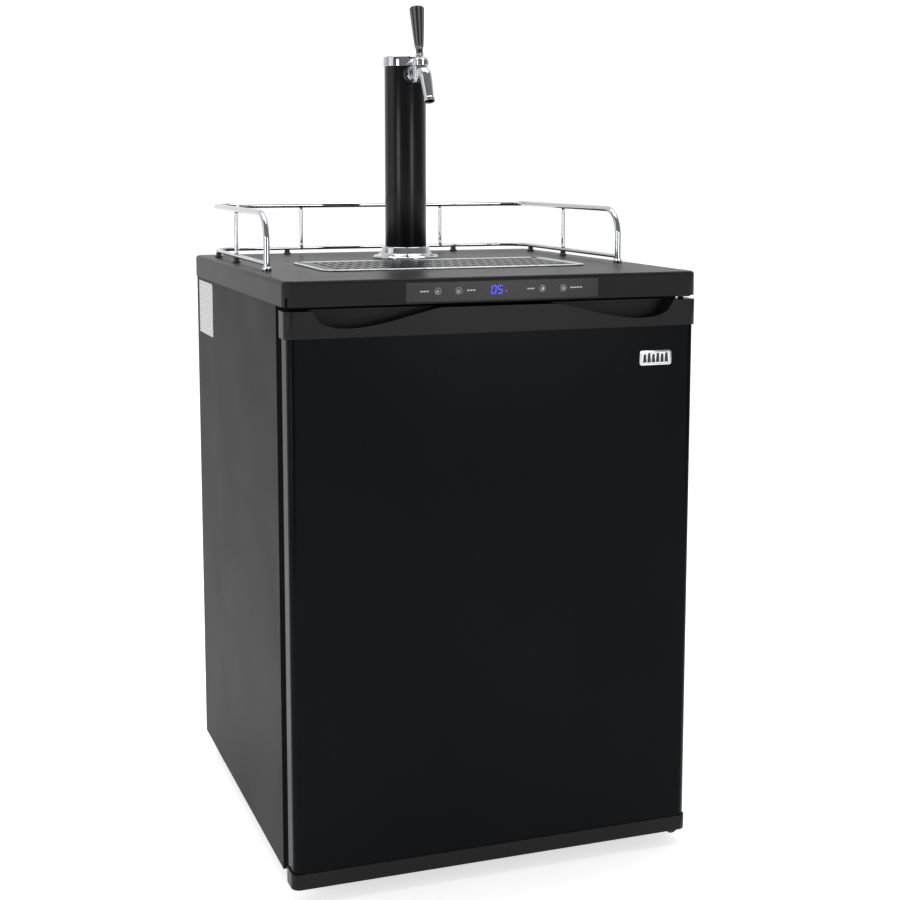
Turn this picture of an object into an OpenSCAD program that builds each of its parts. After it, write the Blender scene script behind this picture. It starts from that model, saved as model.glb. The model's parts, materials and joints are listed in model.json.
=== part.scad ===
// Kegerator: a keg refrigerator with a beer tower, a drip tray and a guard rail on its worktop.
// Millimetres. +X is to the right of someone facing the door, the door faces -Y, +Z is up.
// The origin is on the floor, under the middle of the worktop.

/* [Worktop] */
// Width of the worktop, the widest part
worktop_w = 606; // [604:1:610]
// Depth of the worktop, and of the whole object
worktop_d = 636; // [634:1:640]
// Height of the worktop's upper face above the floor
worktop_z = 858; // [856:1:866]
// Radius of the worktop's upright corners
worktop_corner_r = 16; // [12:1:24]
// Radius of the round along the worktop's upper edge
worktop_edge_r = 5; // [3:0.5:6]

/* [Cabinet] */
// Width over the steel side walls
cabinet_w = 600; // [598:1:602]
// Height of the cabinet's underside above the floor
cabinet_clearance = 28; // [26:1:30]
// Thickness of the foam in the side walls
wall_foam = 40; // [38:1:42]

/* [Door] */
// Gap between the door's top and the worktop
door_gap = 5.5; // [5:0.5:7]
// Height of the moulded cap along the door's top
top_cap_h = 36.5; // [34:0.5:40]
// Width of one finger scoop in the top cap
scoop_w = 180; // [150:5:190]
// Depth scale of a finger scoop's curved lip
scoop_depth = 70; // [50:1:72]

/* [Tower] */
// Outer diameter of the tower's column
column_d = 66; // [62:1:68]
// Height of the tower's cap above the worktop
tower_h = 320.5; // [310:0.5:330]
// Distance of the tower's axis behind the middle of the worktop
tower_y = 100; // [98:1:104]
// Lean of the closed tap handle towards the back, in degrees
tap_lean = 11; // [8:1:12]
// Length of the tap handle
handle_len = 74; // [60:1:90]
// Number of flutes around the tap handle
handle_flutes = 8; // [6:1:10]

/* [Guard rail] */
// Half of the distance between the two side rails
rail_x = 277; // [270:1:280]
// Height of the upper rail's centre line above the worktop
rail_h = 82; // [70:1:90]
// Radius of the rail's bends
rail_bend = 45; // [40:1:50]

/* [Drip tray] */
// Width over the tray's rim
tray_w = 410; // [400:1:420]
// Front edge of the tray's rim, from the middle of the worktop
tray_front = -158; // [-162:1:-150]
// Back edge of the tray's rim
tray_back = 42; // [36:1:43]
// Number of slots in one row of the grille
slot_count = 26; // [18:1:30]

/* [Gas] */
// Diameter of the gas cylinder
cylinder_d = 133; // [130:0.5:134]

/* [Hidden] */
$fn = 64;
// How far a cutting solid runs past the face that it opens
past = 1;
// Radial clearance of a pin or shaft that turns or slides in its bore
running = 0.05;

// Worktop
worktop_h = 34.5;
worktop_wall = 4;
worktop_front = -worktop_d / 2;
worktop_under = worktop_z - worktop_h;
rest_z = worktop_z - 22;
tower_hole_r = 25;
worktop_t = 4;
recess_wall = 2.5;
recess_gap = 1.5;
tower_boss_r = 60;

// Cabinet
sheet = 1;
cab_x = cabinet_w / 2;
door_depth = 61;
cab_front = worktop_front + door_depth;
cab_back = worktop_d / 2 - 5;
cab_bottom = cabinet_clearance;
cab_top = rest_z;
pan_t = 3;
pan_top = cab_bottom + pan_t;
flange_x = cab_x - 34;
back_y = cab_back - 42;
bay_y = 190;
bay_top = 271;
gland_x = -200;
gland_z = 120;
gland_bore = 3.6;

// Inner liner
liner_t = 2;
in_x = cab_x - sheet - wall_foam - liner_t;
in_floor = 75;
in_top = cab_top - 46;
in_back = back_y - 47;
hump_y = 172;
hump_top = 300;
opening_low = 62;
opening_high = in_top + 5;

// Door
door_top = worktop_under - door_gap;
door_low = 22.6;
bottom_cap_top = 45;
door_back = cab_front - 27;
panel_front = worktop_front + 1.5;
panel_x = 299;
top_cap_x = 302.5;
bottom_cap_x = 301.5;
top_cap_z = door_top - top_cap_h;
cap_corner = 12;
badge_x = [212.5, 262.5];
badge_z = [725.5, 746.5];
liner_x = 290;
hinge_x = 289.5;
hinge_y = worktop_front + 26;
pin_r = 4;
gasket_out = 285;
gasket_in = 269;

// Fascia
fascia_low = worktop_under + 2.5;
fascia_high = worktop_z - 6;
overlay_x = [-136, 146];
button_x = [-91, -61, 61.3, 92.6];
button_z = worktop_z - 18;
button_r = 5.5;
button_hole_r = button_r + 0.4;
display_x = [-15, 11];

// Drip tray
tray_x = tray_w / 2;
rim = 7;
tray_wall = 1.5;
tray_floor_z = worktop_z - 17;
rim_h = 2.5;
ledge_w = 6;
ledge_z = worktop_z + 0.2;
basin_x = tray_x - rim;
basin_front = tray_front + rim;
basin_back = tray_back - rim;
basin_r = 10;
grille_t = 1.5;

// Guard rail
rail_r = 4.5;
low_rail_r = 3.2;
rail_post_r = 2.85;
rail_z = worktop_z + rail_h;
low_rail_z = worktop_z + 10;
rail_back = worktop_d / 2 - 28;
rail_front = -109;
side_post_y = 100;
back_post_x = 125;
peg_x = 150;
peg_r = 5;

// Tower and faucet
column_r = column_d / 2;
column_wall = 2;
flange_h = 20;
flange_floor = 6;
screw_circle = 46.5;
screw_r = 2.2;
cap_top = worktop_z + tower_h;
shank_z = cap_top - 29.5;
column_face = tower_y - column_r;
shank_r = 9;
tail_y = tower_y - 5;
nut_back = column_face - 10;
nut_front = nut_back - 14;
barrel_r = 10.5;
pivot_y = column_face - 43;
pivot_z = shank_z + 11;
shaft_r = 5;
barrel_front = column_face - 55;
nose_y = barrel_front - 11.5;
spout_turn = 65;
spout_len = 49.5;
spout_bore = 5;
ball_r = 7.5;
tip_len = 10;
tip_r = 2.2;
lever_top = 19;

// Gas cylinder and regulator
cyl_r = cylinder_d / 2;
cyl_x = in_x - cyl_r - 3;
cyl_y = hump_y - cyl_r - 2;
plate_top = in_floor + 2;
cyl_shoulder = 425;
shoulder_r = 45;
neck_z = cyl_shoulder + shoulder_r;
outlet_z = neck_z + 27;
reg_back = cyl_y - 53.5;
reg_r = 22;
reg_len = 32;
gauge_r = 20;
outlet_y = cyl_y - 73.5;
barb_z = outlet_z - 45;
strap_low = 240;
strap_h = 24;
strap_t = 1.6;

// Keg coupler, parked in its clip
coupler_x = -212;
coupler_y = 190;
coupler_low = 572;
coupler_r = 19;
skirt_r = 26;
coupler_top = 640;
fork_z = 625;
fork_lift = 45;
arm_len = 100;
inlet_z = 600;
probe_r = 9;
probe_top = 676;

// Beer line and gas line: radii, and points chosen along their routes
beer_r = 5;
gas_r = 6;
// Gap between the fixed end of the beer line and the sliding probe
line_gap = 0.3;
// Where the gas line runs along the right wall, the left wall and the ceiling
right_line = [in_x - 8, -10];
left_line = [-in_x + 7, 72];
ceiling_z = in_top - 8;
beer_route = [
    [0, tail_y, shank_z - 30], [0, tail_y + 2, shank_z - 69], [0, tower_y, 1000], [0, tower_y, 900],
    [0, tower_y, 825],
    [-4, 106, 790], [-20, 130, 760], [-58, 180, 744], [-105, 206, 739], [-155, 210, 737],
    [-194, 203, 728], [-209, 193, 712], [coupler_x, coupler_y, 696], [coupler_x, coupler_y, 686],
    [coupler_x, coupler_y, probe_top + line_gap]
];
gas_route = [
    [cyl_x, outlet_y, barb_z], [cyl_x + 1, outlet_y - 1, 425], [200, 20, 397], [225, 5, 387],
    [243, -8, 405], [right_line.x, right_line.y, 445], [right_line.x, right_line.y, 520],
    [right_line.x, right_line.y, 620], [right_line.x, right_line.y, 715], [246, -8, 755],
    [228, 0, 777], [190, 12, ceiling_z], [100, 30, ceiling_z], [0, 45, ceiling_z],
    [-100, 55, ceiling_z], [-185, 60, ceiling_z], [-226, 62, 774], [-246, 66, 750],
    [left_line.x, 70, 715], [left_line.x, 75, 665], [-249, 85, 628], [-240, 108, 607],
    [-224, 126, inlet_z], [coupler_x, 142, inlet_z], [coupler_x, 151, inlet_z],
    [coupler_x, 160, inlet_z]
];

// Compressor, condenser and pipes in the back
comp_x = [80, 180];
comp_y = 252;
comp_r = 48;
comp_top = 186;
coil_y = back_y + 21;
coil_x = 215;
coil_low = 330;
coil_runs = 12;
coil_pitch = 40;
coil_r = 2.5;
wire_r = 0.8;
wire_count = 13;
pipe_r = 3;
coil_high = coil_low + (coil_runs - 1) * coil_pitch;
dryer_x = -246;
dryer_top = 282;
dryer_len = 80;
discharge_route = [
    [comp_x[0] - comp_r, comp_y, 120], [22, comp_y, 120], [5, 256, 119], [-60, 272, 126], [-150, 284, 165],
    [-208, 290, 225], [-232, coil_y, 285], [-232, coil_y, 312], [-224, coil_y, 327],
    [-coil_x, coil_y, coil_low]
];
suction_route = [
    [95, comp_y, comp_top + 12], [95, comp_y, 208], [95, comp_y, 218], [84, 244, 234],
    [52, 226, 241], [20, 216, 241], [8, 206, 241], [8, 198, 241], [8, bay_y + sheet, 241]
];
liquid_route = [
    [-coil_x, coil_y, coil_high], [-232, coil_y, coil_high - 2], [-243, coil_y, coil_high - 16],
    [dryer_x, coil_y, 700], [dryer_x, coil_y, 520], [dryer_x, coil_y, 340], [dryer_x, coil_y, dryer_top]
];

// Feet
foot_x = 255;
foot_r = 18;
front_foot_y = -225;
rear_foot_y = 285;
boss_h = 14;

/* ---- Shapes that repeat ---- */

// Flat rectangle from a low corner to a high corner
module rect(lo, hi) {
    translate(lo) square([hi.x - lo.x, hi.y - lo.y]);
}

// Block from a low corner to a high corner
module block(lo, hi) {
    translate(lo) cube([hi.x - lo.x, hi.y - lo.y, hi.z - lo.z]);
}

// Flat rectangle with round corners
module round_rect(lo, hi, r) {
    rect([lo.x + r, lo.y], [hi.x - r, hi.y]);
    rect([lo.x, lo.y + r], [hi.x, hi.y - r]);
    for (x = [lo.x + r, hi.x - r], y = [lo.y + r, hi.y - r]) translate([x, y]) circle(r);
}

// Block with round upright corners
module round_block(lo, hi, r) {
    translate([0, 0, lo.z]) linear_extrude(hi.z - lo.z) round_rect([lo.x, lo.y], [hi.x, hi.y], r);
}

// Cylinders along X, Y and Z, from a low end to a high end
module rod_x(lo, hi, y, z, r) {
    translate([lo, y, z]) rotate([0, 90, 0]) cylinder(h = hi - lo, r = r);
}
module rod_y(x, lo, hi, z, r) {
    translate([x, lo, z]) rotate([-90, 0, 0]) cylinder(h = hi - lo, r = r);
}
module rod_z(x, y, lo, hi, r) {
    translate([x, y, lo]) cylinder(h = hi - lo, r = r);
}

// Rectangle whose two upper corners are round, for the worktop's edge
module crowned_rect(lo, hi, e) {
    rect(lo, [hi.x, hi.y - e]);
    rect([lo.x + e, hi.y - e], [hi.x - e, hi.y]);
    intersection() {
        rect([lo.x, hi.y - e], hi);
        for (x = [lo.x + e, hi.x - e]) translate([x, hi.y - e]) circle(e);
    }
}

// Quarter of the crowned rectangle's corner, turned about an upright axis
module crowned_corner(r, h, e) {
    rotate_extrude(angle = 90) intersection() {
        rect([0, 0], [r, h]);
        union() {
            rect([0, 0], [r, h - e]);
            rect([0, 0], [r - e, h]);
            translate([r - e, h - e]) circle(e);
        }
    }
}

// Block with round upright corners and a round upper edge
module crowned_block(lo, hi, r, e) {
    h = hi.z - lo.z;
    translate([lo.x + r, 0, 0]) rotate([90, 0, 90]) linear_extrude(hi.x - lo.x - 2 * r)
        crowned_rect([lo.y, lo.z], [hi.y, hi.z], e);
    for (side = [0, 1]) {
        intersection() {
            translate([0, hi.y - r, 0]) rotate([90, 0, 0]) linear_extrude(hi.y - lo.y - 2 * r)
                crowned_rect([lo.x, lo.z], [hi.x, hi.z], e);
            if (side == 0) block([lo.x, lo.y, lo.z], [lo.x + r, hi.y, hi.z]);
            else block([hi.x - r, lo.y, lo.z], [hi.x, hi.y, hi.z]);
        }
    }
    for (turn = [0:3]) {
        x = (turn == 0 || turn == 3) ? hi.x - r : lo.x + r;
        y = turn < 2 ? hi.y - r : lo.y + r;
        translate([x, y, lo.z]) rotate([0, 0, 90 * turn]) crowned_corner(r, h, e);
    }
}

// Quarter bend of a tube, from +X round to +Y about the origin
module bend(bend_r, r) {
    rotate_extrude(angle = 90) translate([bend_r, 0]) circle(r);
}

// Plan of the door: flat back, round front corners
module door_plan(x, front, back, r) {
    rect([-x, front + r], [x, back]);
    rect([-x + r, front], [x - r, front + r]);
    for (s = [-1, 1]) translate([s * (x - r), front + r]) circle(r);
}

function unit(v) = v / norm(v);

// Point on a smooth curve through the route, between points i and i + 1
function route_point(p, i, t) =
    let (a = p[max(i - 1, 0)], b = p[i], c = p[i + 1], d = p[min(i + 2, len(p) - 1)])
    0.5 * (2 * b + (c - a) * t + (2 * a - 5 * b + 4 * c - d) * t * t
        + (3 * b - a - 3 * c + d) * t * t * t);

// The route with n steps between its points
function smooth_route(p, n) =
    concat([for (i = [0:len(p) - 2], k = [0:n - 1]) route_point(p, i, k / n)], [p[len(p) - 1]]);

function directions(q) =
    [for (i = [0:len(q) - 1]) unit(q[min(i + 1, len(q) - 1)] - q[max(i - 1, 0)])];

// Directions square to the route, carried along it without twist
function side_directions(t, i, last) =
    i >= len(t) ? [] :
    let (s = unit(last - t[i] * (last * t[i]))) concat([s], side_directions(t, i + 1, s));

// Tube of radius r along a smooth curve through the route's points
module route_tube(p, r, steps, sides = 10) {
    q = smooth_route(p, steps);
    t = directions(q);
    first = abs(t[0].x) > 0.9 ? [0, 1, 0] : [1, 0, 0];
    s = side_directions(t, 0, first);
    rings = len(q);
    points = [for (i = [0:rings - 1], k = [0:sides - 1])
        q[i] + r * (cos(360 * k / sides) * s[i] + sin(360 * k / sides) * cross(t[i], s[i]))];
    walls = [for (i = [0:rings - 2], k = [0:sides - 1])
        let (n = (k + 1) % sides)
        [i * sides + k, (i + 1) * sides + k, (i + 1) * sides + n, i * sides + n]];
    ends = [[for (k = [0:sides - 1]) k], [for (k = [sides - 1:-1:0]) (rings - 1) * sides + k]];
    polyhedron(points, concat(walls, ends), convexity = 8);
}

/* ---- Cabinet ---- */

// Steel wrap: two sides, the top and the flanges around the door opening
module cabinet_shell() color([0.11, 0.11, 0.12]) difference() {
    union() {
        for (s = [-1, 1]) {
            x0 = s < 0 ? -cab_x : cab_x - sheet;
            block([x0, cab_front, cab_bottom], [x0 + sheet, cab_back, cab_top]);
            f0 = s < 0 ? -cab_x + sheet : flange_x;
            f1 = s < 0 ? -flange_x : cab_x - sheet;
            block([f0, cab_front, cab_bottom], [f1, cab_front + sheet, cab_top - sheet]);
        }
        block([-cab_x + sheet, cab_front, cab_top - sheet], [cab_x - sheet, cab_back, cab_top]);
        block([-flange_x, cab_front, opening_high], [flange_x, cab_front + sheet, cab_top - sheet]);
    }
    rod_z(0, tower_y, cab_top - 2 * sheet, cab_top + past, tower_hole_r);
}

// Stepped steel back: it closes the foam and forms the roof and wall of the compressor bay
module back_panel() color([0.3, 0.3, 0.31]) {
    half = cab_x - sheet;
    difference() {
        translate([-half, 0, 0]) rotate([90, 0, 90]) linear_extrude(2 * half) polygon([
            [bay_y, pan_top], [bay_y + sheet, pan_top], [bay_y + sheet, bay_top - sheet],
            [back_y, bay_top - sheet], [back_y, cab_top - sheet],
            [back_y - sheet, cab_top - sheet], [back_y - sheet, bay_top], [bay_y, bay_top]
        ]);
        rod_y(gland_x, bay_y - past, bay_y + 2, gland_z, 4);
    }
}

// Outline of the liner's outside, seen from the side
module liner_outline(grow, front) {
    polygon([
        [front, in_floor - grow], [hump_y + grow, in_floor - grow],
        [hump_y + grow, hump_top - grow], [in_back + grow, hump_top - grow],
        [in_back + grow, in_top + grow], [front, in_top + grow]
    ]);
}

// Foam between the steel and the liner
module foam_insulation() color([0.9, 0.85, 0.6]) {
    half = cab_x - sheet;
    front = cab_front + liner_t;
    difference() {
        translate([-half, 0, 0]) rotate([90, 0, 90]) linear_extrude(2 * half) polygon([
            [front, pan_top], [bay_y, pan_top], [bay_y, bay_top], [back_y - sheet, bay_top],
            [back_y - sheet, cab_top - sheet], [front, cab_top - sheet]
        ]);
        translate([-in_x - liner_t, 0, 0]) rotate([90, 0, 90]) linear_extrude(2 * (in_x + liner_t))
            liner_outline(liner_t, front - past);
        rod_z(0, tower_y, in_top, cab_top, tower_hole_r);
        for (s = [-1, 1]) rod_z(s * foot_x, front_foot_y, pan_top - past, pan_top + boss_h + 4, 12);
    }
}

// White plastic liner with the hump over the compressor bay and a rim around the opening
module inner_liner() color([0.93, 0.93, 0.92]) difference() {
    union() {
        translate([-in_x - liner_t, 0, 0]) rotate([90, 0, 90]) linear_extrude(2 * (in_x + liner_t))
            liner_outline(liner_t, cab_front);
        block([-flange_x, cab_front, opening_low], [flange_x, cab_front + liner_t, opening_high]);
    }
    translate([-in_x, 0, 0]) rotate([90, 0, 90]) linear_extrude(2 * in_x)
        liner_outline(0, cab_front - past);
    rod_z(0, tower_y, in_top - past, in_top + liner_t + past, tower_hole_r);
}

// Bottom plate with a front upstand and a threaded boss over each levelling foot
module base_pan() color([0.25, 0.25, 0.26]) difference() {
    union() {
        half = cab_x - sheet;
        block([-half, cab_front + sheet, cab_bottom], [half, cab_back, pan_top]);
        block([-flange_x, cab_front, cab_bottom], [flange_x, cab_front + sheet, opening_low]);
        for (s = [-1, 1]) rod_z(s * foot_x, front_foot_y, pan_top, pan_top + boss_h, 9);
    }
    for (s = [-1, 1]) {
        rod_z(s * foot_x, front_foot_y, cab_bottom - past, pan_top + boss_h + past, pin_r + running);
    }
}

// Fixed feet under the back corners
module rear_feet() color([0.08, 0.08, 0.08]) {
    for (s = [-1, 1]) translate([s * foot_x, rear_foot_y, 0]) {
        cylinder(h = 6, r1 = foot_r - 2, r2 = foot_r);
        translate([0, 0, 6]) cylinder(h = cab_bottom - 6, r = foot_r - 4);
    }
}

// Steel plate that the keg stands on
module keg_floor_plate() color([0.75, 0.76, 0.77]) {
    round_block([-in_x + 6, cab_front + 24, in_floor], [in_x - 6, hump_y - 4, plate_top], 10);
}

// Cold plate on the back wall, with its pressed channel
module evaporator_plate() color([0.8, 0.81, 0.83]) {
    left = -85;
    right = 235;
    low = 420;
    high = in_top - 25;
    passes = 6;
    channel = 8;
    margin = 20;
    step = (high - low - 2 * margin) / passes;
    first = low + margin - channel / 2;
    round_block_y([left, in_back - 2, low], [right, in_back, high], 12);
    for (i = [0:passes]) {
        z = first + i * step;
        block([left + margin, in_back - 4, z], [right - margin, in_back - 2, z + channel]);
    }
    for (i = [0:passes - 1]) {
        x = i % 2 == 0 ? right - margin - channel : left + margin;
        z = first + i * step + channel;
        block([x, in_back - 4, z], [x + channel, in_back - 2, z + step - channel]);
    }
}

// Upright plate with round corners, facing Y
module round_block_y(lo, hi, r) {
    translate([0, hi.y, 0]) rotate([90, 0, 0]) linear_extrude(hi.y - lo.y)
        round_rect([lo.x, lo.z], [hi.x, hi.z], r);
}

/* ---- Worktop ---- */

// Hollow moulded worktop: walled cut-out for the tray, boss under the tower, fascia at the front
module worktop() color([0.13, 0.13, 0.14]) {
    x = worktop_w / 2;
    y = worktop_d / 2;
    well_x = basin_x + recess_gap;
    well_front = basin_front - recess_gap;
    well_back = basin_back + recess_gap;
    difference() {
        crowned_block([-x, -y, worktop_under], [x, y, worktop_z], worktop_corner_r, worktop_edge_r);
        difference() {
            union() {
                block([-cab_x, -y + worktop_wall, worktop_under - past], [cab_x, cab_back, rest_z]);
                block([-cab_x + worktop_wall, -y + worktop_wall, rest_z - past],
                    [cab_x - worktop_wall, cab_back, worktop_z - worktop_t]);
            }
            block([-well_x - recess_wall, well_front - recess_wall, rest_z],
                [well_x + recess_wall, well_back + recess_wall, worktop_z]);
            rod_z(0, tower_y, rest_z, worktop_z, tower_boss_r);
        }
        round_block([-well_x, well_front, rest_z - past], [well_x, well_back, worktop_z + past],
            basin_r + recess_gap);
        rod_z(0, tower_y, rest_z - past, worktop_z + past, tower_hole_r);
        block([overlay_x[0], -y - past, fascia_low], [overlay_x[1], -y + 1, fascia_high]);
        for (bx = button_x) rod_y(bx, -y, -y + worktop_wall + past, button_z, button_hole_r);
        block([display_x[0], -y, button_z - 8], [display_x[1], -y + worktop_wall + past, button_z + 8]);
    }
}

// Glossy overlay on the fascia, with a hole for each button
module control_panel() color([0.16, 0.16, 0.17]) difference() {
    block([overlay_x[0], worktop_front, fascia_low], [overlay_x[1], worktop_front + 1, fascia_high]);
    for (x = button_x) rod_y(x, worktop_front - past, worktop_front + 2, button_z, button_hole_r);
}

// Circuit board behind the fascia, with its switches and its display
module control_board() color([0.1, 0.35, 0.2]) {
    board_y = worktop_front + 9;
    block([-120, board_y, fascia_low + 2], [130, board_y + 1.6, fascia_high - 2]);
    for (x = button_x) block([x - 3, board_y - 2, button_z - 3], [x + 3, board_y, button_z + 3]);
    block([display_x[0] + 1, worktop_front + 1, button_z - 7], [display_x[1] - 1, board_y, button_z + 7]);
}

// Push button: round cap with a flange behind the fascia wall
module push_button(x) {
    front = worktop_front;
    rod_y(x, front, front + 6, button_z, button_r);
    rod_y(x, front + worktop_wall + 0.3, front + 5.3, button_z, button_r + 1.5);
}
module button_up() color([0.2, 0.2, 0.21]) push_button(button_x[0]);
module button_down() color([0.2, 0.2, 0.21]) push_button(button_x[1]);
module button_light() color([0.2, 0.2, 0.21]) push_button(button_x[2]);
module button_power() color([0.2, 0.2, 0.21]) push_button(button_x[3]);

/* ---- Guard rail ---- */

// U-shaped run of a rail at height z: two sides and the back, with round corners
module rail_run(z, r, front) {
    corner_y = rail_back - rail_bend;
    corner_x = rail_x - rail_bend;
    for (s = [-1, 1]) rod_y(s * rail_x, front, corner_y, z, r);
    rod_x(-corner_x, corner_x, rail_back, z, r);
    translate([corner_x, corner_y, z]) bend(rail_bend, r);
    translate([-corner_x, corner_y, z]) rotate([0, 0, 90]) bend(rail_bend, r);
}

// Upper rail, bent down at the front into its two front posts
module guard_rail_upper() color([0.8, 0.8, 0.82]) {
    rail_run(rail_z, rail_r, rail_front + rail_bend);
    for (s = [-1, 1]) {
        translate([s * rail_x, rail_front + rail_bend, rail_z - rail_bend]) rotate([0, -90, 0])
            rotate([0, 0, -90]) bend(rail_bend, rail_r);
        rod_z(s * rail_x, rail_front, worktop_z, rail_z - rail_bend, rail_r);
    }
}

// Lower rail, welded to the front posts
module guard_rail_lower() color([0.8, 0.8, 0.82]) difference() {
    rail_run(low_rail_z, low_rail_r, rail_front);
    for (s = [-1, 1]) rod_z(s * rail_x, rail_front, worktop_z, rail_z, rail_r);
}

// Thin posts between the two rails
module guard_rail_posts() color([0.8, 0.8, 0.82]) difference() {
    union() {
        for (s = [-1, 1]) {
            rod_z(s * rail_x, side_post_y, low_rail_z, rail_z, rail_post_r);
            rod_z(s * back_post_x, rail_back, low_rail_z, rail_z, rail_post_r);
        }
    }
    for (s = [-1, 1]) {
        rod_y(s * rail_x, side_post_y - 9, side_post_y + 9, rail_z, rail_r);
        rod_y(s * rail_x, side_post_y - 9, side_post_y + 9, low_rail_z, low_rail_r);
        rod_x(s * back_post_x - 9, s * back_post_x + 9, rail_back, rail_z, rail_r);
        rod_x(s * back_post_x - 9, s * back_post_x + 9, rail_back, low_rail_z, low_rail_r);
    }
}

// Black pegs that hold the rail off the worktop, and collars around the front posts
module guard_rail_feet() color([0.07, 0.07, 0.07]) {
    peg_top = low_rail_z - low_rail_r;
    for (s = [-1, 1]) {
        rod_z(s * peg_x, rail_back, worktop_z, peg_top, peg_r);
        rod_z(s * rail_x, side_post_y, worktop_z, peg_top, peg_r);
        rod_z(s * rail_x, rail_back - rail_bend - 5, worktop_z, peg_top, peg_r);
        translate([s * rail_x, rail_front, worktop_z]) difference() {
            cylinder(h = 6, r = 7);
            translate([0, 0, -past]) cylinder(h = 6 + 2 * past, r = rail_r + running);
        }
    }
}

/* ---- Tower and faucet ---- */

// Stepped chrome flange that the column stands in
module tower_flange() color([0.8, 0.8, 0.82]) difference() {
    socket = column_r + running;
    translate([0, tower_y, worktop_z]) rotate_extrude() polygon([
        [28, 0], [52.5, 0], [52.5, 4], [50.5, 6], [43, 7], [40, 10], [38, flange_h - 1],
        [37, flange_h], [socket, flange_h], [socket, flange_floor], [28, flange_floor]
    ]);
    for (i = [0:3]) translate([0, tower_y, worktop_z]) rotate([0, 0, 45 + 90 * i])
        translate([screw_circle, 0, -past]) cylinder(h = 9, r = screw_r + 0.1);
}

// Four screws through the flange into the worktop's boss
module tower_screws() color([0.6, 0.6, 0.62]) {
    for (i = [0:3]) translate([0, tower_y, worktop_z]) rotate([0, 0, 45 + 90 * i])
        translate([screw_circle, 0, 0]) {
            cylinder(h = 7, r = screw_r);
            translate([0, 0, 7]) cylinder(h = 1.8, r1 = 4, r2 = 3);
        }
}

// Black column with the shank's hole in its front
module tower_column() color([0.06, 0.06, 0.07]) difference() {
    rod_z(0, tower_y, worktop_z + flange_floor, cap_top - 2.5, column_r);
    rod_z(0, tower_y, worktop_z, cap_top, column_r - column_wall);
    rod_y(0, column_face - past, column_face + 8, shank_z, shank_r + 0.5);
}

// Chrome cap over the column
module tower_cap() color([0.82, 0.82, 0.84]) translate([0, tower_y, cap_top]) rotate_extrude() {
    socket = column_r + running;
    polygon([
        [0, 0], [column_r, 0], [column_r + 2, -2], [column_r + 2, -15.5], [socket, -15.5],
        [socket, -2.5], [0, -2.5]
    ]);
}

// Threaded shank through the column wall, with its inner nut and its tail for the beer line
module faucet_shank() color([0.75, 0.75, 0.77]) difference() {
    union() {
        rod_y(0, nut_front + 3, column_face + 24, shank_z, shank_r);
        rod_y(0, column_face + 6.5, column_face + 13, shank_z, 13);
        rod_y(0, column_face + 24, column_face + 33, shank_z, 6);
        rod_z(0, tail_y, shank_z - 30, shank_z, 4.5);
    }
    rod_y(0, nut_front, column_face + 28, shank_z, 3.5);
    rod_z(0, tail_y, shank_z - 31, shank_z, 2.5);
}

// Black collar shaped to the column
module shank_collar() color([0.1, 0.1, 0.1]) difference() {
    rod_y(0, nut_back, column_face + 6, shank_z, 13.8);
    rod_z(0, tower_y, shank_z - 20, shank_z + 20, column_r + running);
    rod_y(0, nut_back - past, column_face + 7, shank_z, shank_r + running);
}

// Slotted ring nut that pulls the faucet onto the shank
module coupling_nut() color([0.8, 0.8, 0.82]) difference() {
    rod_y(0, nut_front, nut_back, shank_z, 14);
    rod_y(0, nut_front - past, nut_back + past, shank_z, shank_r + running);
    for (i = [0:5]) translate([0, nut_front - past, shank_z]) rotate([-90, 0, 0])
        rotate([0, 0, 60 * i]) translate([15, 0, 0]) cylinder(h = 12, r = 2.5);
}

// Places a child in the spout's frame: origin at the faucet's nose, +Z down the spout
module on_spout() {
    translate([0, nose_y, shank_z]) rotate([90 + spout_turn, 0, 0]) children();
}

// Faucet body: barrel, round nose, seat for the bonnet and spout, bored through
module faucet_body() color([0.82, 0.82, 0.84]) difference() {
    union() {
        rod_y(0, nose_y, nut_front, shank_z, barrel_r);
        rod_y(0, nut_front - past, nut_front + 3, shank_z, shank_r);
        rod_z(0, pivot_y, shank_z - 15, pivot_z, 11.5);
        translate([0, nose_y, shank_z]) sphere(barrel_r + 0.9);
        on_spout() cylinder(h = spout_len, r1 = 9, r2 = 7.5);
        on_spout() translate([0, 0, spout_len - 5]) cylinder(h = 5, r = 8.3);
    }
    rod_y(0, barrel_front, nut_front + 3 + past, shank_z, shaft_r + running);
    rod_y(0, nose_y, barrel_front + past, shank_z, 3.2);
    rod_z(0, pivot_y, shank_z - 1, pivot_z + past, ball_r + 0.5);
    on_spout() translate([0, 0, -2]) cylinder(h = spout_len + 2 + past, r = spout_bore);
}

// Ring that holds the lever's ball down in the body
module faucet_bonnet() color([0.84, 0.84, 0.86]) {
    translate([0, pivot_y, pivot_z]) rotate_extrude() polygon([
        [ball_r + 0.5, 0], [12, 0], [13, 1.5], [13, 8], [10.5, 12], [7, 12], [7, 8.2],
        [ball_r + 0.5, 8.2]
    ]);
}

// Places a child in the lever's frame: pivot at the origin, +Z up the handle
module on_lever() {
    translate([0, pivot_y, pivot_z]) rotate([-tap_lean, 0, 0]) children();
}

// Lever with its ball, the tip that drives the shaft and the collar under the handle
module faucet_lever() color([0.84, 0.84, 0.86]) on_lever() {
    sphere(ball_r);
    translate([0, 0, -tip_len]) cylinder(h = tip_len, r = tip_r - 0.3);
    translate([0, 0, -tip_len]) sphere(tip_r);
    cylinder(h = lever_top - 1, r = 3);
    translate([0, 0, lever_top - 3]) cylinder(h = 3, r = 6.5);
}

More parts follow.
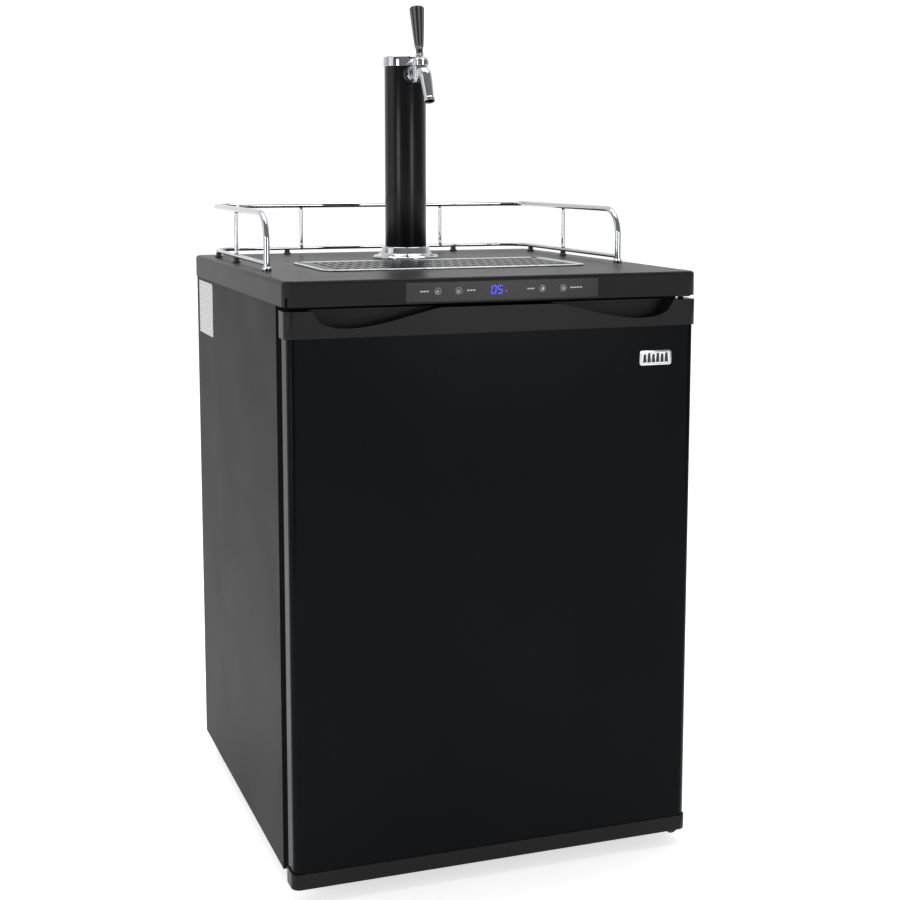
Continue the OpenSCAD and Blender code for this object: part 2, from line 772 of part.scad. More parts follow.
// Tapered, fluted handle
module tap_handle() color([0.04, 0.04, 0.04]) on_lever() translate([0, 0, lever_top]) difference() {
    rotate_extrude() polygon([
        [0, 0], [6, 0], [6.5, 3], [11.5, handle_len - 3], [10, handle_len - 0.5], [0, handle_len]
    ]);
    for (i = [0:handle_flutes - 1]) rotate([0, 0, 360 / handle_flutes * i])
        translate([8, 0, 6]) rotate([0, 4, 0]) cylinder(h = handle_len, r = 2);
}

// Sliding shaft: slot block for the lever's tip, stem and rear washer
module faucet_shaft() color([0.7, 0.7, 0.72]) {
    slot_mid = pivot_y - tip_len * sin(tap_lean);
    front = barrel_front + 1;
    difference() {
        rod_y(0, front, slot_mid + 7, shank_z, shaft_r);
        block([-6, slot_mid - 2.7, shank_z - 1.5], [6, slot_mid + 2.7, shank_z + 6]);
        block([-6, slot_mid - 8, shank_z + 3.2], [6, slot_mid + 8, shank_z + 6]);
    }
    rod_y(0, slot_mid + 6, nut_front - 7, shank_z, 3.4);
    rod_y(0, nut_front - 8, nut_front - 4, shank_z, shaft_r);
}

/* ---- Drip tray ---- */

// Steel tray: rim on the worktop, basin in the cut-out and a ledge for the grille
module drip_tray() color([0.72, 0.73, 0.74]) difference() {
    union() {
        round_block([-tray_x, tray_front, worktop_z], [tray_x, tray_back, worktop_z + rim_h], 14);
        round_block([-basin_x, basin_front, tray_floor_z], [basin_x, basin_back, worktop_z], basin_r);
    }
    round_block([-basin_x + tray_wall, basin_front + tray_wall, ledge_z],
        [basin_x - tray_wall, basin_back - tray_wall, worktop_z + rim_h + past], basin_r - tray_wall);
    round_block([-basin_x + ledge_w, basin_front + ledge_w, tray_floor_z + tray_wall],
        [basin_x - ledge_w, basin_back - ledge_w, ledge_z + past], 6);
}

// Slotted grille that lies on the tray's ledge
module drip_grille() color([0.1, 0.1, 0.11]) {
    edge = tray_wall + 0.5;
    x = basin_x - edge;
    end_margin = 14;
    side_margin = 10;
    rows = 4;
    row_pitch = (basin_back - basin_front - 2 * side_margin) / rows;
    slot_pitch = 2 * (x - end_margin) / slot_count;
    slot_r = 2.4;
    slot_half = row_pitch * 0.36;
    difference() {
        round_block([-x, basin_front + edge, ledge_z], [x, basin_back - edge, ledge_z + grille_t], 8);
        for (j = [0:rows - 1], i = [0:slot_count - 1]) {
            sx = -x + end_margin + (i + 0.5) * slot_pitch;
            sy = basin_front + side_margin + (j + 0.5) * row_pitch;
            round_block([sx - slot_r, sy - slot_half, ledge_z - past],
                [sx + slot_r, sy + slot_half, ledge_z + grille_t + past], slot_r - 0.05);
        }
    }
}

/* ---- Door and hinges ---- */

// Upper hinge bracket: plate under the worktop's front, leg on the cabinet and pin
module hinge_bracket_top() color([0.15, 0.15, 0.16]) {
    plate_z = worktop_under - 3;
    leg_y = cab_front - 2.5;
    block([hinge_x - 14, hinge_y - 9, plate_z], [cab_x, leg_y, worktop_under]);
    block([hinge_x - 14, leg_y, plate_z], [cab_x, cab_front, worktop_under + 10]);
    rod_z(hinge_x, hinge_y, door_top - 17.5, plate_z, pin_r);
}

// Lower hinge bracket: plate under the door, leg on the cabinet, pin, washer and nut
module hinge_bracket_bottom() color([0.2, 0.2, 0.21]) {
    plate_z = door_low - 5;
    leg_y = cab_front - 3;
    block([hinge_x - 27, hinge_y - 10, plate_z], [cab_x - 1, leg_y, plate_z + 3]);
    block([hinge_x - 27, leg_y, plate_z], [cab_x - 1, cab_front, 38]);
    rod_z(hinge_x, hinge_y, plate_z + 3, plate_z + 4.6, 7);
    rod_z(hinge_x, hinge_y, plate_z + 4.6, bottom_cap_top - 5, pin_r);
    translate([hinge_x, hinge_y, plate_z - 9]) {
        cylinder(h = 3, r1 = 5, r2 = 8);
        translate([0, 0, 3]) cylinder(h = 6, r = 8, $fn = 6);
    }
}

// Folded steel door skin with round front corners and return flanges
module door_panel() color([0.05, 0.05, 0.055]) {
    skin = 0.8;
    corner = 10;
    translate([0, 0, bottom_cap_top]) linear_extrude(top_cap_z - bottom_cap_top) difference() {
        door_plan(panel_x, panel_front, door_back, corner);
        door_plan(panel_x - skin, panel_front + skin, door_back - skin, corner - skin);
        rect([-panel_x + 12, door_back - 2], [panel_x - 12, door_back + past]);
    }
}

// Depth of the scoop's lip below the cap's top, at u from 0 (outer end) to 1 (inner end)
function lip_depth(u) = scoop_depth * pow(u, 0.5) * pow(1 - u, 1.3);

// Outline of a scoop from the front: a curved lip, cut deeper by extra
module scoop_outline(side, extra) {
    outer = 265;
    steps = 20;
    lip = [for (i = [0:steps]) let (u = i / steps)
        [side * (outer - scoop_w * u), door_top - lip_depth(u) - extra * sin(180 * u)]];
    polygon(concat(lip, [[side * (outer - scoop_w), door_top + 2], [side * outer, door_top + 2]]));
}

// Moulded cap along the door's top with two finger scoops and the hinge bore
module door_top_cap() color([0.09, 0.09, 0.1]) difference() {
    translate([0, 0, top_cap_z]) linear_extrude(top_cap_h)
        door_plan(top_cap_x, worktop_front, door_back, cap_corner);
    for (side = [-1, 1]) {
        translate([0, worktop_front + 5, 0]) rotate([90, 0, 0]) linear_extrude(7)
            scoop_outline(side, 0);
        translate([0, door_back - 5, 0]) rotate([90, 0, 0])
            linear_extrude(door_back - worktop_front - 10) scoop_outline(side, 6);
    }
    rod_z(hinge_x, hinge_y, door_top - 19, door_top + past, pin_r + running);
}

// Moulded cap along the door's bottom with the hinge bore
module door_bottom_cap() color([0.09, 0.09, 0.1]) difference() {
    translate([0, 0, door_low]) linear_extrude(bottom_cap_top - door_low)
        door_plan(bottom_cap_x, worktop_front, door_back, cap_corner);
    rod_z(hinge_x, hinge_y, door_low - past, bottom_cap_top - 4, pin_r + running);
}

// Foam inside the door skin
module door_foam() color([0.9, 0.85, 0.6]) {
    translate([0, 0, bottom_cap_top]) linear_extrude(top_cap_z - bottom_cap_top)
        door_plan(panel_x - 1, panel_front + 1, door_back - 1, 9);
}

// White inner face of the door with its raised frame
module door_liner() color([0.93, 0.93, 0.92]) {
    dam_x = 236;
    dam_low = 100;
    dam_high = 765;
    dam_t = 14;
    block([-liner_x, door_back, 32], [liner_x, door_back + 2, door_top - 4]);
    difference() {
        block([-dam_x, door_back + 2, dam_low], [dam_x, cab_front + 5, dam_high]);
        block([-dam_x + dam_t, door_back + 2, dam_low + dam_t],
            [dam_x - dam_t, cab_front + 6, dam_high - dam_t]);
    }
}

// One step of the gasket: a square ring between two depths
module gasket_ring(inset_out, inset_in, y0, y1) {
    low = 42;
    high = opening_high + 17;
    wide = gasket_out - gasket_in;
    difference() {
        block([-gasket_out + inset_out, y0, low + inset_out],
            [gasket_out - inset_out, y1, high - inset_out]);
        block([-gasket_out + wide - inset_in, y0 - past, low + wide - inset_in],
            [gasket_out - wide + inset_in, y1 + past, high - wide + inset_in]);
    }
}

// Magnetic gasket: base, bellows and magnet bulb
module door_gasket() color([0.3, 0.3, 0.3]) {
    back = door_back + 2;
    gasket_ring(0, 0, back, back + 6);
    gasket_ring(4, 4, back + 6, back + 16);
    gasket_ring(1, 1, back + 16, cab_front - 0.3);
}

// Small plate on the door's upper right
module badge_plate() color([0.75, 0.75, 0.76]) {
    round_block_y([badge_x[0], worktop_front, badge_z[0]], [badge_x[1], panel_front, badge_z[1]], 4);
}

/* ---- Feet ---- */

// Levelling foot: pad and threaded stem
module levelling_foot(x) {
    translate([x, front_foot_y, 0]) {
        cylinder(h = 5, r = foot_r);
        translate([0, 0, 5]) cylinder(h = 5, r1 = foot_r - 1, r2 = 9);
        cylinder(h = pan_top + boss_h - 2, r = pin_r);
    }
}
module levelling_foot_left() color([0.1, 0.1, 0.1]) levelling_foot(-foot_x);
module levelling_foot_right() color([0.1, 0.1, 0.1]) levelling_foot(foot_x);

/* ---- Beer and gas ---- */

// Beer line from the shank's tail down the column to the coupler
module beer_line() color([0.85, 0.86, 0.84]) route_tube(beer_route, beer_r, 5);

// Gas line from the regulator over the ceiling to the coupler
module gas_line() color([0.7, 0.12, 0.12]) route_tube(gas_route, gas_r, 3);

// Clip on a side wall around an upright line
module wall_clip(wall_x, x, y, z, r) {
    lo = wall_x < 0 ? wall_x : x - r - 2;
    hi = wall_x < 0 ? x + r + 2 : wall_x;
    difference() {
        block([lo, y - r - 3, z - 6], [hi, y + r + 3, z + 6]);
        rod_z(x, y, z - 7, z + 7, r + 0.6);
    }
}

// Clips for the two lines, and the hook that the coupler is parked in
module line_clips() color([0.9, 0.9, 0.9]) {
    for (z = [570, 680]) wall_clip(in_x, right_line.x, right_line.y, z, gas_r);
    wall_clip(-in_x, left_line.x, left_line.y, 695, gas_r);
    for (p = [[50, 37.5], [-140, 57.5]]) difference() {
        block([p.x - 6, p.y - 11, ceiling_z - 8], [p.x + 6, p.y + 11, in_top]);
        rod_x(p.x - 7, p.x + 7, p.y, ceiling_z, gas_r + 1.2);
    }
    difference() {
        block([-136, 202, 729], [-124, in_back, 748]);
        rod_x(-137, -123, 208.5, 738.3, beer_r + 2);
    }
    hook_low = coupler_low + 3;
    hook_top = coupler_low + 15;
    difference() {
        union() {
            rod_z(coupler_x, coupler_y, hook_low, hook_top, skirt_r + 4);
            block([-in_x, coupler_y - 12, hook_low], [coupler_x - skirt_r, coupler_y + 12, hook_top]);
        }
        rod_z(coupler_x, coupler_y, coupler_low, hook_top + past, skirt_r + 0.1);
        block([coupler_x + 10, coupler_y - 18, coupler_low],
            [coupler_x + 40, coupler_y + 18, hook_top + past]);
    }
}

// Keg coupler body: socket below, bore for the probe, pivot pins and gas inlet
module keg_coupler() color([0.78, 0.78, 0.8]) difference() {
    union() {
        rod_z(coupler_x, coupler_y, coupler_low, coupler_low + 18, skirt_r);
        rod_z(coupler_x, coupler_y, coupler_low + 18, coupler_top, coupler_r);
        rod_y(coupler_x, 160, 176, inlet_z, 5);
        rod_y(coupler_x, 163, 176, inlet_z, 8);
        rod_y(coupler_x, coupler_y - 24, coupler_y + 24, fork_z, pin_r);
    }
    rod_z(coupler_x, coupler_y, coupler_low - past, coupler_low + 14, 19.5);
    rod_z(coupler_x, coupler_y, coupler_low + 10, coupler_top + past, probe_r + running);
}

// Forked handle that drives the probe
module coupler_handle() color([0.05, 0.05, 0.05]) {
    gap = coupler_r + 0.5;
    translate([coupler_x, coupler_y, fork_z]) rotate([0, -fork_lift, 0]) {
        for (s = [-1, 1]) {
            y0 = s < 0 ? -gap - 3 : gap;
            difference() {
                union() {
                    block([0, y0, -7], [arm_len, y0 + 3, 7]);
                    rod_y(0, y0, y0 + 3, 0, 9);
                }
                rod_y(0, y0 - past, y0 + 3 + past, 0, pin_r + running);
            }
        }
        rod_y(arm_len - 8, -gap, gap, 0, 6.5);
        rod_y(arm_len - 22, -gap, gap, 0, 3);
    }
}

// Sliding probe with the beer outlet on its top
module coupler_probe() color([0.8, 0.8, 0.82]) difference() {
    union() {
        rod_z(coupler_x, coupler_y, coupler_low + 16, 660, probe_r);
        rod_z(coupler_x, coupler_y, 660, 670, 11.5);
        rod_z(coupler_x, coupler_y, 670, probe_top, 5);
    }
    rod_z(coupler_x, coupler_y, coupler_low, probe_top + past, 3);
}

// Gas cylinder with a round shoulder
module co2_cylinder() color([0.75, 0.76, 0.78]) translate([cyl_x, cyl_y, 0]) rotate_extrude() {
    intersection() {
        rect([0, plate_top], [cyl_r, neck_z]);
        union() {
            rect([0, plate_top], [cyl_r - 4, cyl_shoulder]);
            rect([0, plate_top + 4], [cyl_r, cyl_shoulder]);
            rect([0, cyl_shoulder], [cyl_r - shoulder_r, neck_z]);
            translate([cyl_r - shoulder_r, cyl_shoulder]) circle(shoulder_r);
        }
    }
    rect([0, neck_z], [17, neck_z + 8]);
}

// Brass cylinder valve with its side outlet
module co2_valve() color([0.72, 0.6, 0.32]) {
    rod_z(cyl_x, cyl_y, neck_z + 8, neck_z + 42, 13);
    rod_z(cyl_x, cyl_y, neck_z + 42, neck_z + 60, 4);
    rod_y(cyl_x, reg_back + 8, cyl_y, outlet_z, 9);
}

// Hand knob on the cylinder valve
module valve_knob() color([0.1, 0.1, 0.1]) difference() {
    rod_z(cyl_x, cyl_y, neck_z + 46, neck_z + 60, 22);
    rod_z(cyl_x, cyl_y, neck_z + 45, neck_z + 61, pin_r + running);
    for (i = [0:7]) translate([cyl_x, cyl_y, neck_z + 45]) rotate([0, 0, 45 * i])
        translate([24, 0, 0]) cylinder(h = 16, r = 5);
}

// Regulator: inlet nut, body, bonnet, two gauges and a barb for the gas line
module co2_regulator() color([0.75, 0.68, 0.45]) {
    front = reg_back - reg_len;
    gauge_y = [reg_back - 25, reg_back - 9];
    difference() {
        translate([cyl_x, reg_back + 4, outlet_z]) rotate([-90, 0, 0]) cylinder(h = 18, r = 15, $fn = 6);
        rod_y(cyl_x, reg_back + 8, reg_back + 25, outlet_z, 9 + running);
    }
    rod_y(cyl_x, reg_back, reg_back + 4, outlet_z, 8);
    difference() {
        union() {
            rod_y(cyl_x, front, reg_back, outlet_z, reg_r);
            rod_y(cyl_x, front - 10, front, outlet_z, 14);
        }
        rod_y(cyl_x, front - 11, front + 8, outlet_z, pin_r + running);
    }
    reach = reg_r + 4 + gauge_r;
    rod_z(cyl_x, reg_back - 17, outlet_z + reg_r - 1, outlet_z + reg_r + 5, 4);
    rod_y(cyl_x, gauge_y[0], gauge_y[1], outlet_z + reach, gauge_r);
    rod_x(cyl_x + reg_r - 1, cyl_x + reg_r + 5, reg_back - 17, outlet_z, 4);
    rod_y(cyl_x + reach, gauge_y[0], gauge_y[1], outlet_z, gauge_r);
    rod_z(cyl_x, outlet_y, barb_z, outlet_z - reg_r + 2, 5);
    rod_z(cyl_x, outlet_y, outlet_z - 34, outlet_z - reg_r + 1, 8);
}

// Pressure adjusting screw with its knob
module regulator_screw() color([0.1, 0.1, 0.1]) {
    front = reg_back - reg_len - 10;
    rod_y(cyl_x, front - 2, front + 14, outlet_z, pin_r);
    rod_y(cyl_x, front - 18, front - 2, outlet_z, 9);
}

// Band that holds the gas cylinder to the right wall
module cylinder_strap() color([0.5, 0.5, 0.52]) {
    high = strap_low + strap_h;
    difference() {
        union() {
            rod_z(cyl_x, cyl_y, strap_low, high, cyl_r + strap_t);
            block([cyl_x + cyl_r - 8, cyl_y - 16, strap_low], [in_x, cyl_y + 16, high]);
        }
        rod_z(cyl_x, cyl_y, strap_low - past, high + past, cyl_r + running);
    }
}

/* ---- Refrigeration ---- */

// Compressor can on its feet
module compressor() color([0.07, 0.07, 0.08]) {
    can_low = 44;
    foot_top = can_low - 3;
    for (shape = [[comp_r, can_low, comp_top], [comp_r - 9, comp_top, comp_top + 12]]) {
        translate([0, 0, shape[1]]) linear_extrude(shape[2] - shape[1]) {
            for (x = comp_x) translate([x, comp_y]) circle(shape[0]);
            rect([comp_x[0], comp_y - shape[0]], [comp_x[1], comp_y + shape[0]]);
        }
    }
    block([comp_x[0] - 40, comp_y - 44, foot_top], [comp_x[1] + 40, comp_y + 44, can_low]);
    for (x = [comp_x[0] - 30, comp_x[1] + 30], y = [comp_y - 34, comp_y + 34]) {
        rod_z(x, y, pan_top, foot_top, 9);
    }
}

// Condenser: serpentine tube, upright wires on both sides and four stand-offs
module condenser_coil() color([0.06, 0.06, 0.06]) {
    for (i = [0:coil_runs - 1]) rod_x(-coil_x, coil_x, coil_y, coil_low + i * coil_pitch, coil_r);
    for (i = [0:coil_runs - 2]) {
        s = i % 2 == 0 ? 1 : -1;
        translate([s * coil_x, coil_y, coil_low + (i + 0.5) * coil_pitch]) rotate([90, 0, 0])
            rotate([0, 0, s > 0 ? -90 : 90]) rotate_extrude(angle = 180)
                translate([coil_pitch / 2, 0]) circle(coil_r);
    }
    gap = coil_r + wire_r + 0.1;
    for (i = [0:wire_count - 1], s = [-1, 1]) {
        x = -coil_x + 10 + i * (2 * coil_x - 20) / (wire_count - 1);
        rod_z(x, coil_y + s * gap, coil_low - 12, coil_high + 12, wire_r);
    }
    for (x = [-coil_x - 4, coil_x + 4], i = [1, coil_runs - 3]) {
        z = coil_low + (i + (x > 0 ? -0.5 : 0.5)) * coil_pitch + coil_pitch / 2;
        rod_y(x - (x > 0 ? 6 : -6), back_y, coil_y - coil_r - 0.1, z, 4);
    }
}

// Copper pipes of the circuit, with the filter dryer
module refrigerant_pipes() color([0.72, 0.42, 0.25]) {
    route_tube(discharge_route, pipe_r, 4, 8);
    route_tube(suction_route, pipe_r, 4, 8);
    route_tube(liquid_route, pipe_r, 4, 8);
    rod_z(dryer_x, coil_y, dryer_top - dryer_len, dryer_top, 8);
}

// Gland for the power cord in the compressor bay's wall
module cord_gland() color([0.08, 0.08, 0.08]) difference() {
    union() {
        rod_y(gland_x, bay_y + sheet, bay_y + sheet + 3, gland_z, 12);
        rod_y(gland_x, bay_y + sheet + 3, bay_y + sheet + 14, gland_z, 8);
    }
    rod_y(gland_x, bay_y, bay_y + sheet + 15, gland_z, gland_bore);
}

cabinet_shell();
back_panel();
foam_insulation();
inner_liner();
base_pan();
rear_feet();
keg_floor_plate();
evaporator_plate();
worktop();
control_panel();
control_board();
guard_rail_upper();
guard_rail_lower();
guard_rail_posts();
guard_rail_feet();
tower_flange();
tower_screws();
tower_column();
tower_cap();
faucet_shank();
shank_collar();
coupling_nut();
faucet_body();
faucet_bonnet();
faucet_lever();
tap_handle();
faucet_shaft();
drip_tray();
drip_grille();
button_up();
button_down();
button_light();
button_power();
hinge_bracket_top();
hinge_bracket_bottom();
door_panel();
door_top_cap();
door_bottom_cap();
door_foam();
door_liner();
door_gasket();
badge_plate();
levelling_foot_left();
levelling_foot_right();
beer_line();
gas_line();
line_clips();
keg_coupler();
coupler_handle();
coupler_probe();
co2_cylinder();
co2_valve();
valve_knob();
co2_regulator();
regulator_screw();
cylinder_strap();
compressor();
condenser_coil();
refrigerant_pipes();
cord_gland();
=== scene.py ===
"""Looks of the keg refrigerator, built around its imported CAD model. Metres, +Z up, door towards -Y."""
import json
import math

import bmesh
import bpy
from mathutils import Matrix, Vector


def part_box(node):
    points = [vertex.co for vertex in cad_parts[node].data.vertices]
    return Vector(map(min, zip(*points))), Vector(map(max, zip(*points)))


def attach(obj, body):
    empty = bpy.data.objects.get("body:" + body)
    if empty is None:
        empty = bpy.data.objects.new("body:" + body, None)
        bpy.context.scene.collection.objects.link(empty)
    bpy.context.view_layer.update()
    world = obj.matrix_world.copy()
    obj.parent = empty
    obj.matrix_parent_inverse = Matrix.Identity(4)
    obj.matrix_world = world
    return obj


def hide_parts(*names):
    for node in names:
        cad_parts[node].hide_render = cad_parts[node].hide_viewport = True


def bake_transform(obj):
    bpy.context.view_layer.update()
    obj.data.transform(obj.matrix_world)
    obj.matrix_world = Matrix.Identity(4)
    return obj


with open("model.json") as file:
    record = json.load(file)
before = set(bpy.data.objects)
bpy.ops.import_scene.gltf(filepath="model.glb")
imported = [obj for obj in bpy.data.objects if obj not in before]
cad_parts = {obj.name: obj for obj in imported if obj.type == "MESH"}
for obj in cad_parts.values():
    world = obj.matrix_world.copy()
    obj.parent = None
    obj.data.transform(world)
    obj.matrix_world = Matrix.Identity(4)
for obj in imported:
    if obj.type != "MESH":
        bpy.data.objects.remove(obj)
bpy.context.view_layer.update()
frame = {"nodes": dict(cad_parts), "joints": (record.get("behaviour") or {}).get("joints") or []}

MM = 0.001
FULL_TURN = 2 * math.pi
X_AXIS, Y_AXIS, Z_AXIS = Vector((1, 0, 0)), Vector((0, 1, 0)), Vector((0, 0, 1))


# ---- Camera, light and floor ----

def add_camera():
    """Camera at the height of the tower's foot, to the left of the door."""
    data = bpy.data.cameras.new("camera")
    data.lens = 61.51
    data.shift_y = -0.10
    camera = bpy.data.objects.new("camera", data)
    camera.location = (-0.7713, -2.2660, 1.0099)
    camera.rotation_euler = (math.radians(82.731), 0, math.radians(-19.701))
    bpy.context.scene.collection.objects.link(camera)
    bpy.context.scene.camera = camera


def add_area_light(name, place, target, size, power):
    """Soft box that points at a spot."""
    data = bpy.data.lights.new(name, "AREA")
    data.shape = "RECTANGLE"
    data.size, data.size_y = size
    data.energy = power
    light = bpy.data.objects.new(name, data)
    light.location = place
    light.rotation_euler = (Vector(target) - Vector(place)).to_track_quat("-Z", "Y").to_euler()
    bpy.context.scene.collection.objects.link(light)


def ramp(tree, value, start, end, low, high):
    """Smooth step of a value, from low at start to high at end."""
    made = tree.nodes.new("ShaderNodeMapRange")
    made.interpolation_type = "SMOOTHSTEP"
    for socket, number in zip(("From Min", "From Max", "To Min", "To Max"), (start, end, low, high)):
        made.inputs[socket].default_value = number
    tree.links.new(value, made.inputs["Value"])
    return made.outputs[0]


def add_studio():
    """White studio, greyer in front and on the left, with soft boxes above, left and in front."""
    world = bpy.data.worlds.new("studio")
    bpy.context.scene.world = world
    world.use_nodes = True
    tree = world.node_tree
    background = tree.nodes["Background"]
    background.inputs["Color"].default_value = (1, 1, 1, 1)
    where = tree.nodes.new("ShaderNodeTexCoord")
    way = tree.nodes.new("ShaderNodeSeparateXYZ")
    tree.links.new(where.outputs["Generated"], way.inputs[0])
    both = tree.nodes.new("ShaderNodeMath")
    both.operation = "MULTIPLY"
    tree.links.new(ramp(tree, way.outputs["Y"], -0.30, 0.55, 0.30, 1.08), both.inputs[0])
    tree.links.new(ramp(tree, way.outputs["X"], -1.0, -0.45, 0.6, 1.0), both.inputs[1])
    tree.links.new(both.outputs[0], background.inputs["Strength"])
    add_area_light("overhead", (0.1, 0.2, 3.0), (0, 0, 0.8), (2.6, 1.6), 42)
    add_area_light("left_box", (-3.0, 0.5, 1.5), (0, 0, 0.6), (1.6, 2.6), 14)
    add_area_light("right_strip", (0.95, -2.8, 1.05), (0, 0.1, 1.0), (0.6, 0.9), 14)
    add_area_light("left_strip", (-2.5, -1.5, 1.05), (0, 0.1, 1.0), (0.6, 0.9), 14)


def add_floor():
    """Plain pale floor."""
    mesh = bpy.data.meshes.new("floor")
    half = 12.0
    corners = [(-half, -half, 0), (half, -half, 0), (half, half, 0), (-half, half, 0)]
    mesh.from_pydata(corners, [], [(0, 1, 2, 3)])
    floor = bpy.data.objects.new("floor", mesh)
    bpy.context.scene.collection.objects.link(floor)
    mesh.materials.append(plain_floor())


# ---- Materials ----

class Finish:
    """A Principled material with helpers for its procedural detail. Scales are in waves per metre."""

    def __init__(self, name, color, roughness, metallic=0.0, **sockets):
        self.material = bpy.data.materials.new(name)
        self.material.use_nodes = True
        self.tree = self.material.node_tree
        self.shader = self.tree.nodes["Principled BSDF"]
        self.color, self.roughness = color, roughness
        self.put("Base Color", (*color, 1.0))
        self.put("Roughness", roughness)
        self.put("Metallic", metallic)
        for socket, value in sockets.items():
            self.put(socket.replace("_", " "), value)

    def put(self, socket, value):
        self.shader.inputs[socket].default_value = value

    def node(self, kind, **values):
        made = self.tree.nodes.new(kind)
        for socket, value in values.items():
            made.inputs[socket.replace("_", " ")].default_value = value
        return made

    def place(self, stretch=(1, 1, 1)):
        """Coordinates in metres, fixed to the piece, stretched along its axes."""
        where = self.node("ShaderNodeTexCoord")
        if tuple(stretch) == (1, 1, 1):
            return where.outputs["Object"]
        mapping = self.node("ShaderNodeMapping", Scale=stretch)
        self.tree.links.new(where.outputs["Object"], mapping.inputs["Vector"])
        return mapping.outputs[0]

    def noise(self, scale, detail=3.0, stretch=(1, 1, 1)):
        made = self.node("ShaderNodeTexNoise", Scale=scale, Detail=detail)
        self.tree.links.new(self.place(stretch), made.inputs["Vector"])
        return made.outputs["Fac"]

    def cells(self, scale, stretch=(1, 1, 1)):
        made = self.node("ShaderNodeTexVoronoi", Scale=scale)
        self.tree.links.new(self.place(stretch), made.inputs["Vector"])
        return made.outputs["Distance"]

    def span(self, value, low, high, start=0.0, end=1.0):
        made = self.node("ShaderNodeMapRange")
        for socket, number in zip(("From Min", "From Max", "To Min", "To Max"), (start, end, low, high)):
            made.inputs[socket].default_value = number
        self.tree.links.new(value, made.inputs["Value"])
        return made.outputs[0]

    def vary_roughness(self, spread, scale, stretch=(1, 1, 1)):
        low, high = max(0.0, self.roughness - spread), self.roughness + spread
        varied = self.span(self.noise(scale, 4.0, stretch), low, high, 0.3, 0.7)
        self.tree.links.new(varied, self.shader.inputs["Roughness"])
        return self

    def vary_color(self, other, scale, stretch=(1, 1, 1), start=0.4, end=0.7):
        """Patches of another colour, softly mixed in."""
        mix = self.node("ShaderNodeMix")
        mix.data_type = "RGBA"
        # The colour sockets of a Mix node share their names with its other sockets, so they are found by type
        first, second = [s for s in mix.inputs if s.type == "RGBA"]
        first.default_value, second.default_value = (*self.color, 1.0), (*other, 1.0)
        share = self.span(self.noise(scale, 4.0, stretch), 0.0, 1.0, start, end)
        self.tree.links.new(share, mix.inputs["Factor"])
        result = [s for s in mix.outputs if s.type == "RGBA"][0]
        self.tree.links.new(result, self.shader.inputs["Base Color"])
        return self

    def bump(self, height, depth, strength=1.0):
        """Surface relief of the given depth in metres, added to any that is there."""
        made = self.node("ShaderNodeBump", Strength=strength, Distance=depth)
        self.tree.links.new(height, made.inputs["Height"])
        normal = self.shader.inputs["Normal"]
        if normal.links:
            self.tree.links.new(normal.links[0].from_socket, made.inputs["Normal"])
        self.tree.links.new(made.outputs[0], normal)
        return self


def painted(name, color, roughness, grain=900, depth=0.00004, **sockets):
    """Powder coat or paint: orange peel and faint patches."""
    made = Finish(name, color, roughness, **sockets)
    made.vary_roughness(0.02, 9).vary_color([min(1.0, c * 1.08 + 0.0006) for c in color], 5)
    made.bump(made.noise(grain, 2.0), depth)
    return made.material


def moulded(name, color, roughness, grain=1100, depth=0.00006, wavy=True, **sockets):
    """Moulded plastic: fine leather grain, slight changes of gloss and, if wavy, faint waves."""
    made = Finish(name, color, roughness, **sockets)
    made.vary_roughness(0.015, 14)
    made.bump(made.cells(grain), depth)
    if wavy:
        made.vary_color([c * 1.04 + 0.0008 for c in color], 9)
        made.bump(made.noise(60, 2.0), 0.0001, 0.4)
    return made.material


def polished(name, color, roughness=0.06):
    """Polished plating: a nearly clear mirror with faint haze."""
    made = Finish(name, color, roughness, metallic=1.0)
    made.vary_roughness(0.02, 45)
    made.bump(made.noise(160, 2.0), 0.0000006)
    return made.material


def brushed(name, color, roughness, stretch, depth=0.00003, metallic=1.0):
    """Brushed metal: fine scratches along one direction, the one that stretch makes long."""
    made = Finish(name, color, roughness, metallic=metallic)
    made.vary_roughness(0.09, 1.0, stretch).vary_color([c * 0.82 for c in color], 1.0, stretch)
    made.bump(made.noise(1.0, 3.0, stretch), depth)
    return made.material


def rubbery(name, color):
    """Dull rubber."""
    made = Finish(name, color, 0.72)
    made.vary_roughness(0.1, 60).vary_color([c * 1.5 + 0.01 for c in color], 35)
    made.bump(made.noise(700, 3.0), 0.00006)
    return made.material


def foamy(name, color):
    """Coarse foam."""
    made = Finish(name, color, 0.9)
    made.vary_color([c * 0.8 for c in color], 120)
    made.bump(made.cells(650), 0.0004)
    return made.material


def glowing(name, color, strength):
    """Paint that gives light."""
    made = Finish(name, (0.01, 0.01, 0.02), 0.4)
    made.put("Emission Color", (*color, 1.0))
    made.put("Emission Strength", strength)
    made.vary_roughness(0.05, 200)
    return made.material


def paper_label(name):
    """Printed label: pale grey with faint rows where small print would be."""
    made = Finish(name, (0.5, 0.5, 0.5), 0.5)
    made.vary_color((0.36, 0.36, 0.37), 1.0, (60, 90, 260), 0.46, 0.62)
    made.bump(made.noise(500, 2.0), 0.00002)
    return made.material


def clear_vinyl(name, color, transmission):
    """Clear, slightly tinted plastic."""
    made = Finish(name, color, 0.18, Transmission_Weight=transmission, IOR=1.45)
    made.vary_roughness(0.06, 40).bump(made.noise(90, 2.0), 0.0001, 0.5)
    return made.material


def plain_floor():
    """Finish of the floor."""
    made = Finish("floor", (0.86, 0.86, 0.86), 0.8, Emission_Color=(1, 1, 1, 1), Emission_Strength=0.6)
    made.vary_roughness(0.05, 2)
    return made.material


LONG_X = (14, 1600, 1600)
LONG_Z = (1600, 1600, 10)
